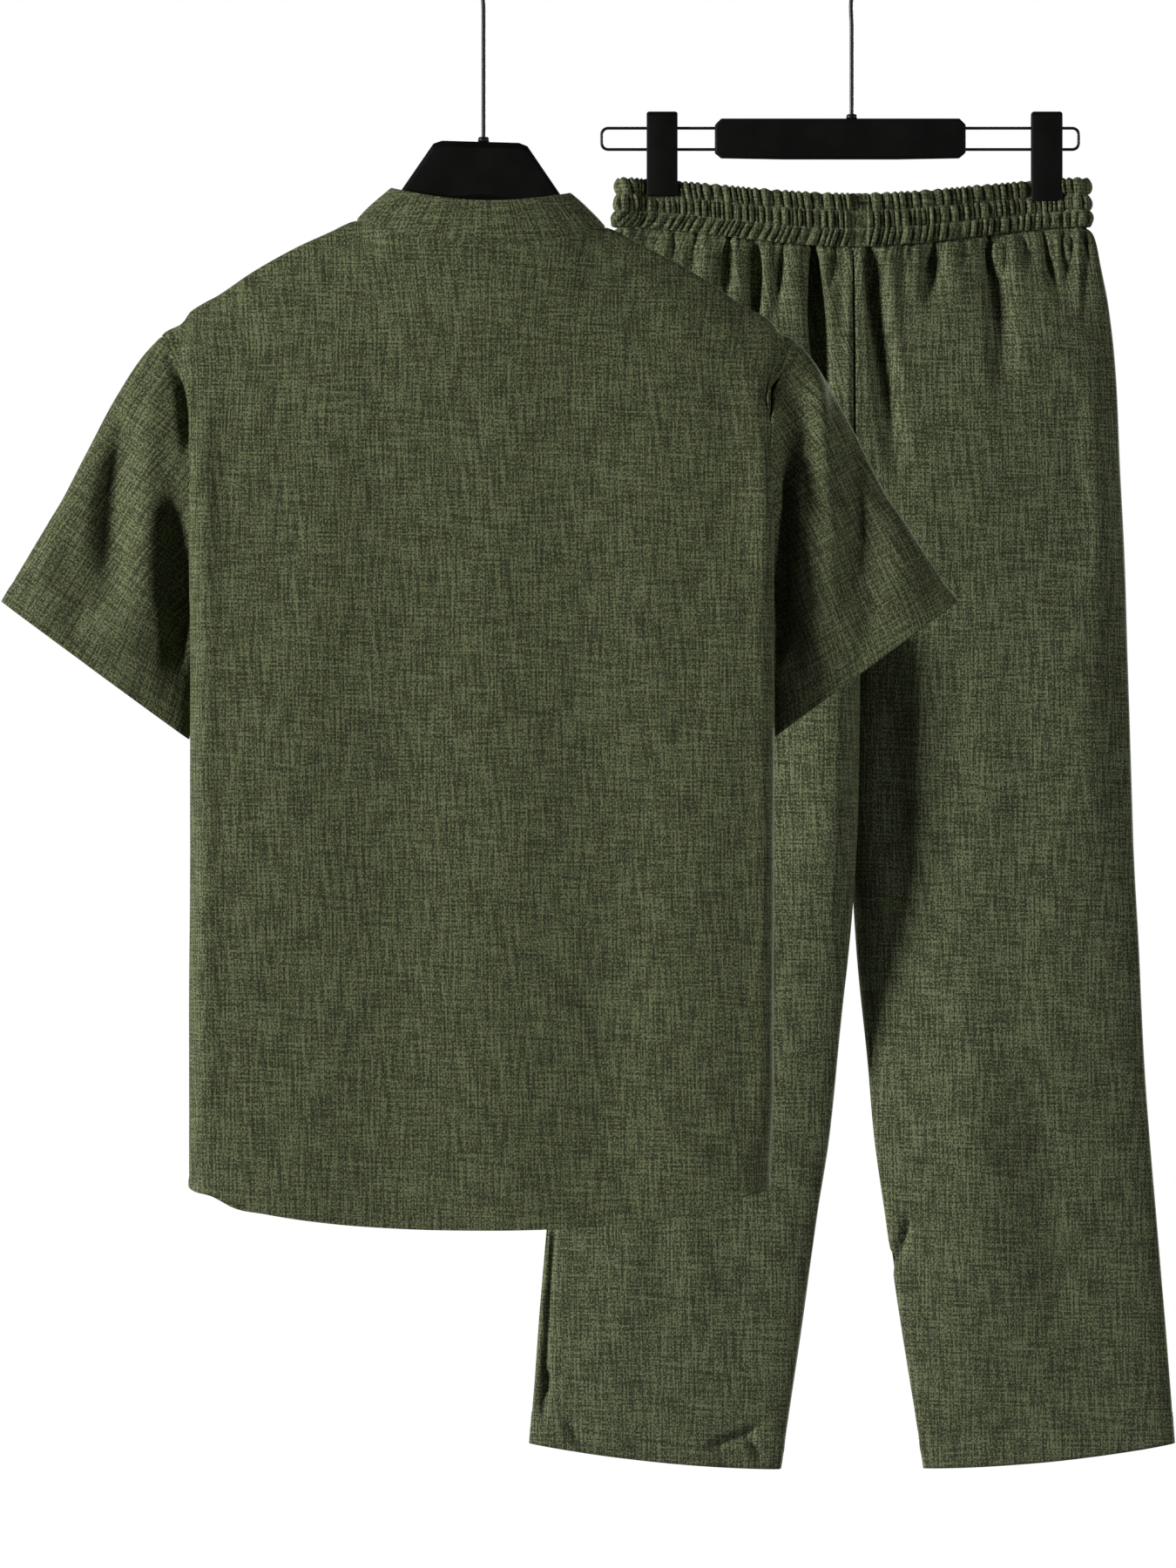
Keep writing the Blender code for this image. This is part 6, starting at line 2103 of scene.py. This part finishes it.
@dataclass
class Hangers:
    """Both hangers: the moulded pieces with their edges eased, and the round wires."""

    wire_radius: float = 1.7
    hook_inner: float = 16.0
    hook_turns: tuple = (205.0, -45.0)
    hook_neck: tuple = ((6.2, -34.5), (1.6, -38.5), (0.0, -46.0), (0.0, -70.0))
    ferrule: tuple = (4.4, 3.5)
    rail_radius: float = 1.2
    rail_bend: float = 5.0
    level_angle: float = 2.0
    corner_angle: float = 28.0
    crisp_angle: float = 38.0

    def eased(self, node: str, finish: bpy.types.Material, ease: float) -> bpy.types.Object:
        """A copy of a moulded solid with rounded edges.

        Args:
            node: the solid.
            finish: the copy's material.
            ease: the radius of its edges.

        Returns:
            The object.
        """
        shape = bmesh.new()
        shape.from_mesh(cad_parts[node].data)
        bmesh.ops.remove_doubles(shape, verts=shape.verts, dist=1e-6)
        bmesh.ops.dissolve_limit(shape, angle_limit=math.radians(self.level_angle), verts=shape.verts,
                                 edges=shape.edges)
        least = math.radians(self.corner_angle)
        sharp = [e for e in shape.edges if e.is_manifold and e.calc_face_angle() > least]
        bmesh.ops.bevel(shape, geom=sharp, offset=ease * MM, segments=3, profile=0.6,
                        affect="EDGES", clamp_overlap=True)
        bmesh.ops.triangulate(shape, faces=[f for f in shape.faces if len(f.verts) > 4])
        mesh = bpy.data.meshes.new(f"{node}_eased")
        shape.to_mesh(mesh)
        shape.free()
        mesh.materials.append(finish)
        mesh.shade_smooth()
        mesh.set_sharp_from_angle(angle=math.radians(self.crisp_angle))
        return put(f"{node}_eased", mesh)

    def hook(self, node: str, finish: bpy.types.Material, wires: NodeRecipe) -> bpy.types.Object:
        """A hook wire with its ferrule, where its solid is.

        Args:
            node: the solid.
            finish: the wire's material.
            wires: the recipe that makes a round wire.

        Returns:
            The object.
        """
        low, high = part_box(node)
        y = (low.y + high.y) / 2.0 / MM
        bottom = low.z / MM
        radius = self.hook_inner + self.wire_radius
        x = high.x / MM - radius - self.wire_radius
        path = []
        for degrees in np.linspace(*self.hook_turns, 51):
            turn = math.radians(degrees)
            path.append((x + radius * math.cos(turn), y, -self.hook_inner + radius * math.sin(turn)))
        path += [(x + aside, y, z) for aside, z in self.hook_neck]
        path.append((x, y, bottom + 0.2))
        rounded = spline(np.array(path)[:, None], 1.6, (False, False))[:, 0]
        made = wires.run(f"{node}_wire", [rounded], {"Radius": self.wire_radius * MM, "Finish": finish})
        shape = bmesh.new()
        shape.from_mesh(made.data)
        wide, tall = self.ferrule
        profile = ((0.0, 0.0), (wide, 0.0), (wide, tall * 0.6), (wide * 0.8, tall), (0.0, tall))
        points, faces = lathe(np.array([x, y, bottom]), np.array([1.0, 0, 0]), np.array([0, 1.0, 0]),
                              np.array([0, 0, 1.0]), profile, circle(24))
        verts = [shape.verts.new(Vector(p * MM)) for p in points]
        for face in faces:
            shape.faces.new([verts[i] for i in face]).smooth = True
        shape.to_mesh(made.data)
        shape.free()
        return made

    def rail(self, node: str, side: int, finish: bpy.types.Material,
             wires: NodeRecipe) -> bpy.types.Object:
        """One wire loop of the clip hanger.

        Args:
            node: its solid.
            side: -1 for the left one, 1 for the right.
            finish: its material.
            wires: the recipe that makes a round wire.

        Returns:
            The object.
        """
        low, high = (np.array(v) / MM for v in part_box(node))
        y = (low[1] + high[1]) / 2.0
        r, bend = self.rail_radius, self.rail_bend
        near, far = (low[0], high[0] - r) if side > 0 else (high[0], low[0] + r)
        top, bottom = high[2] - r, low[2] + r
        turns = np.linspace(0.0, math.pi / 2.0, 7)
        path = [(near, y, top)]
        path += [(far - side * bend * (1 - math.sin(turn)), y, top - bend * (1 - math.cos(turn)))
                 for turn in turns]
        path += [(far - side * bend * (1 - math.cos(turn)), y, bottom + bend * (1 - math.sin(turn)))
                 for turn in turns]
        path.append((near, y, bottom))
        return wires.run(f"{node}_wire", [np.array(path)], {"Radius": r * MM, "Finish": finish})

    def build(self, plastic: bpy.types.Material, wire: bpy.types.Material, wires: NodeRecipe) -> tuple:
        """Make every piece of both hangers.

        Args:
            plastic: the moulded pieces' material.
            wire: the wires'.
            wires: the recipe that makes a round wire.

        Returns:
            The shirt's hanger and the trousers' hanger, each a list of objects.
        """
        shirt, trousers = [], []
        for node, ease, hanger in (("shirt_hanger", 0.8, shirt), ("clip_hanger_bar", 0.9, trousers),
                                   ("clip_left", 0.5, trousers), ("clip_right", 0.5, trousers)):
            piece = self.eased(node, plastic, ease)
            dress(piece, "hanger_plastic", node)
            hanger.append(piece)
        for node, hanger in (("shirt_hook", shirt), ("trousers_hook", trousers)):
            piece = self.hook(node, wire, wires)
            dress(piece, "hanger_wire", node)
            hanger.append(piece)
        for node, side in (("clip_rail_left", -1), ("clip_rail_right", 1)):
            piece = self.rail(node, side, wire, wires)
            dress(piece, "hanger_wire", node)
            trousers.append(piece)
        return shirt, trousers


@dataclass(frozen=True)
class Studio:
    """A pale floor, soft light and the camera; places in metres."""

    camera_place: tuple = (0.0813, -5.0, -0.672)
    lens: float = 147.06
    floor_z: float = -1.45
    floor_reach: float = 1.3
    target: tuple = (0.1, 0.05, -0.7)
    backdrop: float = 1.0
    fill: float = 0.045
    key_size: float = 1.3
    side_size: float = 1.6
    side_place: tuple = (4.9, -2.4, 0.1)
    side_power: float = 90.0
    rear_key_place: tuple = (3.0, 4.6, 0.1)
    rear_side_place: tuple = (-4.8, 2.6, 0.1)
    rear_power: float = 200.0

    def world(self) -> None:
        """A white surround, which lights the cloth more softly than it looks."""
        world = bpy.data.worlds.new("studio")
        bpy.context.scene.world = world
        world.use_nodes = True
        nodes, links = world.node_tree.nodes, world.node_tree.links
        seen = nodes["Background"]
        seen.inputs["Color"].default_value = (1.0, 1.0, 1.0, 1.0)
        seen.inputs["Strength"].default_value = self.backdrop
        soft = nodes.new("ShaderNodeBackground")
        soft.inputs["Color"].default_value = (0.97, 1.0, 1.0, 1.0)
        soft.inputs["Strength"].default_value = self.fill
        path = nodes.new("ShaderNodeLightPath")
        mix = nodes.new("ShaderNodeMixShader")
        links.new(path.outputs["Is Camera Ray"], mix.inputs[0])
        links.new(soft.outputs[0], mix.inputs[1])
        links.new(seen.outputs[0], mix.inputs[2])
        links.new(mix.outputs[0], nodes["World Output"].inputs[0])

    def light(self, name: str, place: tuple, size: float, power: float,
              lit: bpy.types.Collection) -> None:
        """A square soft light for one garment, aimed at it.

        Args:
            name: the light's name.
            place: where it stands.
            size: the length of its sides.
            power: its power in watts.
            lit: the pieces that it lights, and that cast its shadows.
        """
        data = bpy.data.lights.new(name, "AREA")
        data.shape = "SQUARE"
        data.size = size
        data.energy = power
        made = put(name, data)
        made.location = place
        aim = Vector(self.target) - Vector(place)
        made.rotation_euler = aim.to_track_quat("-Z", "Y").to_euler()
        made.light_linking.receiver_collection = lit
        made.light_linking.blocker_collection = lit

    def light_garment(self, name: str, pieces: list, key: tuple, power: float) -> None:
        """Light one garment by itself, as each was photographed alone.

        Args:
            name: a word for its lights.
            pieces: its pieces, with its hanger's.
            key: where its key light stands.
            power: that light's power in watts.
        """
        lit = bpy.data.collections.new(f"{name}_lit")
        for piece in pieces:
            lit.objects.link(piece)
        self.light(f"{name}_key", key, self.key_size, power, lit)
        self.light(f"{name}_side", self.side_place, self.side_size, self.side_power, lit)
        self.light(f"{name}_rear_key", self.rear_key_place, self.key_size, self.rear_power, lit)
        self.light(f"{name}_rear_side", self.rear_side_place, self.side_size, self.side_power, lit)

    def floor(self) -> bpy.types.Object:
        """A pale floor under the garments, below the camera's view.

        Returns:
            The floor.
        """
        board = NodeBoard("pale_floor")
        place = board.add("TexCoord").outputs["Object"]
        mottle = board.add("TexNoise", Vector=place, Scale=2.0, Detail=2.0).outputs[0]
        colour = board.ramp(mottle, ((0.3, (0.86, 0.86, 0.86)), (0.7, (0.9, 0.9, 0.9))))
        board.shade(Base_Color=colour, Roughness=0.9)
        board.shade(Emission_Color=(1.0, 1.0, 1.0, 1.0), Emission_Strength=0.75)
        reach = self.floor_reach / MM
        z = self.floor_z / MM
        points = np.array([(-reach, -reach, z), (reach, -reach, z), (reach, reach, z), (-reach, reach, z)])
        made = mesh_object("floor", points, [(0, 1, 2, 3)], board.material, smooth=False)
        made.visible_diffuse = False
        return made

    def camera(self) -> None:
        """The camera, level and square on to the garments' backs."""
        data = bpy.data.cameras.new("camera")
        data.sensor_width = 36.0
        data.lens = self.lens
        data.clip_end = 100.0
        made = put("camera", data)
        made.location = self.camera_place
        made.rotation_euler = (math.pi / 2.0, 0.0, 0.0)
        bpy.context.scene.camera = made

    def build(self) -> None:
        """Set up the camera, the surround and the floor."""
        self.camera()
        self.world()
        self.floor()
        bpy.context.scene.view_settings.view_transform = "Standard"


def main() -> None:
    """Build the studio, the garments and the hangers."""
    logging.basicConfig(level=logging.INFO, format="%(message)s")
    studio = Studio()
    studio.build()
    sewing, wires = stitch_recipe(), wire_recipe()
    thread = ThreadFinish().material()
    resin = PlasticFinish("button_resin", (0.040, 0.046, 0.026), 0.4, 0.00003).material()
    # Near-black discs that stand for the buttons' holes: painted shade, not a colour of the button itself.
    PlasticFinish("button_hole_shade", (0.004, 0.004, 0.003), 0.7).material()
    shirt_cloth = LinenFinish("olive_linen").material()
    trouser_cloth = LinenFinish("olive_linen_trousers", base=(0.070, 0.081, 0.038), warp_weight=0.28,
                               weft_weight=0.21, grain_weight=0.62).material()
    plastic = PlasticFinish("black_plastic", (0.0036, 0.0036, 0.0032), 0.55).material()
    wire = WireFinish().material()
    shirt = Shirt().build(shirt_cloth, thread, resin, sewing)
    trousers = Trousers().build(trouser_cloth, thread, sewing)
    shirt_hanger, clip_hanger = Hangers().build(plastic, wire, wires)
    studio.light_garment("shirt", shirt + shirt_hanger, (-4.7, -2.5, 0.1), 340.0)
    studio.light_garment("trousers", trousers + clip_hanger, (-4.9, -2.1, 0.1), 430.0)
    pieces = shirt + shirt_hanger + trousers + clip_hanger
    total = 0
    for piece in pieces:
        piece.data.calc_loop_triangles()
        count = len(piece.data.loop_triangles)
        total += count
        LOG.info("%s: %d triangles", piece.name, count)
    LOG.info("all pieces: %d triangles", total)


if __name__ == "__main__":
    main()
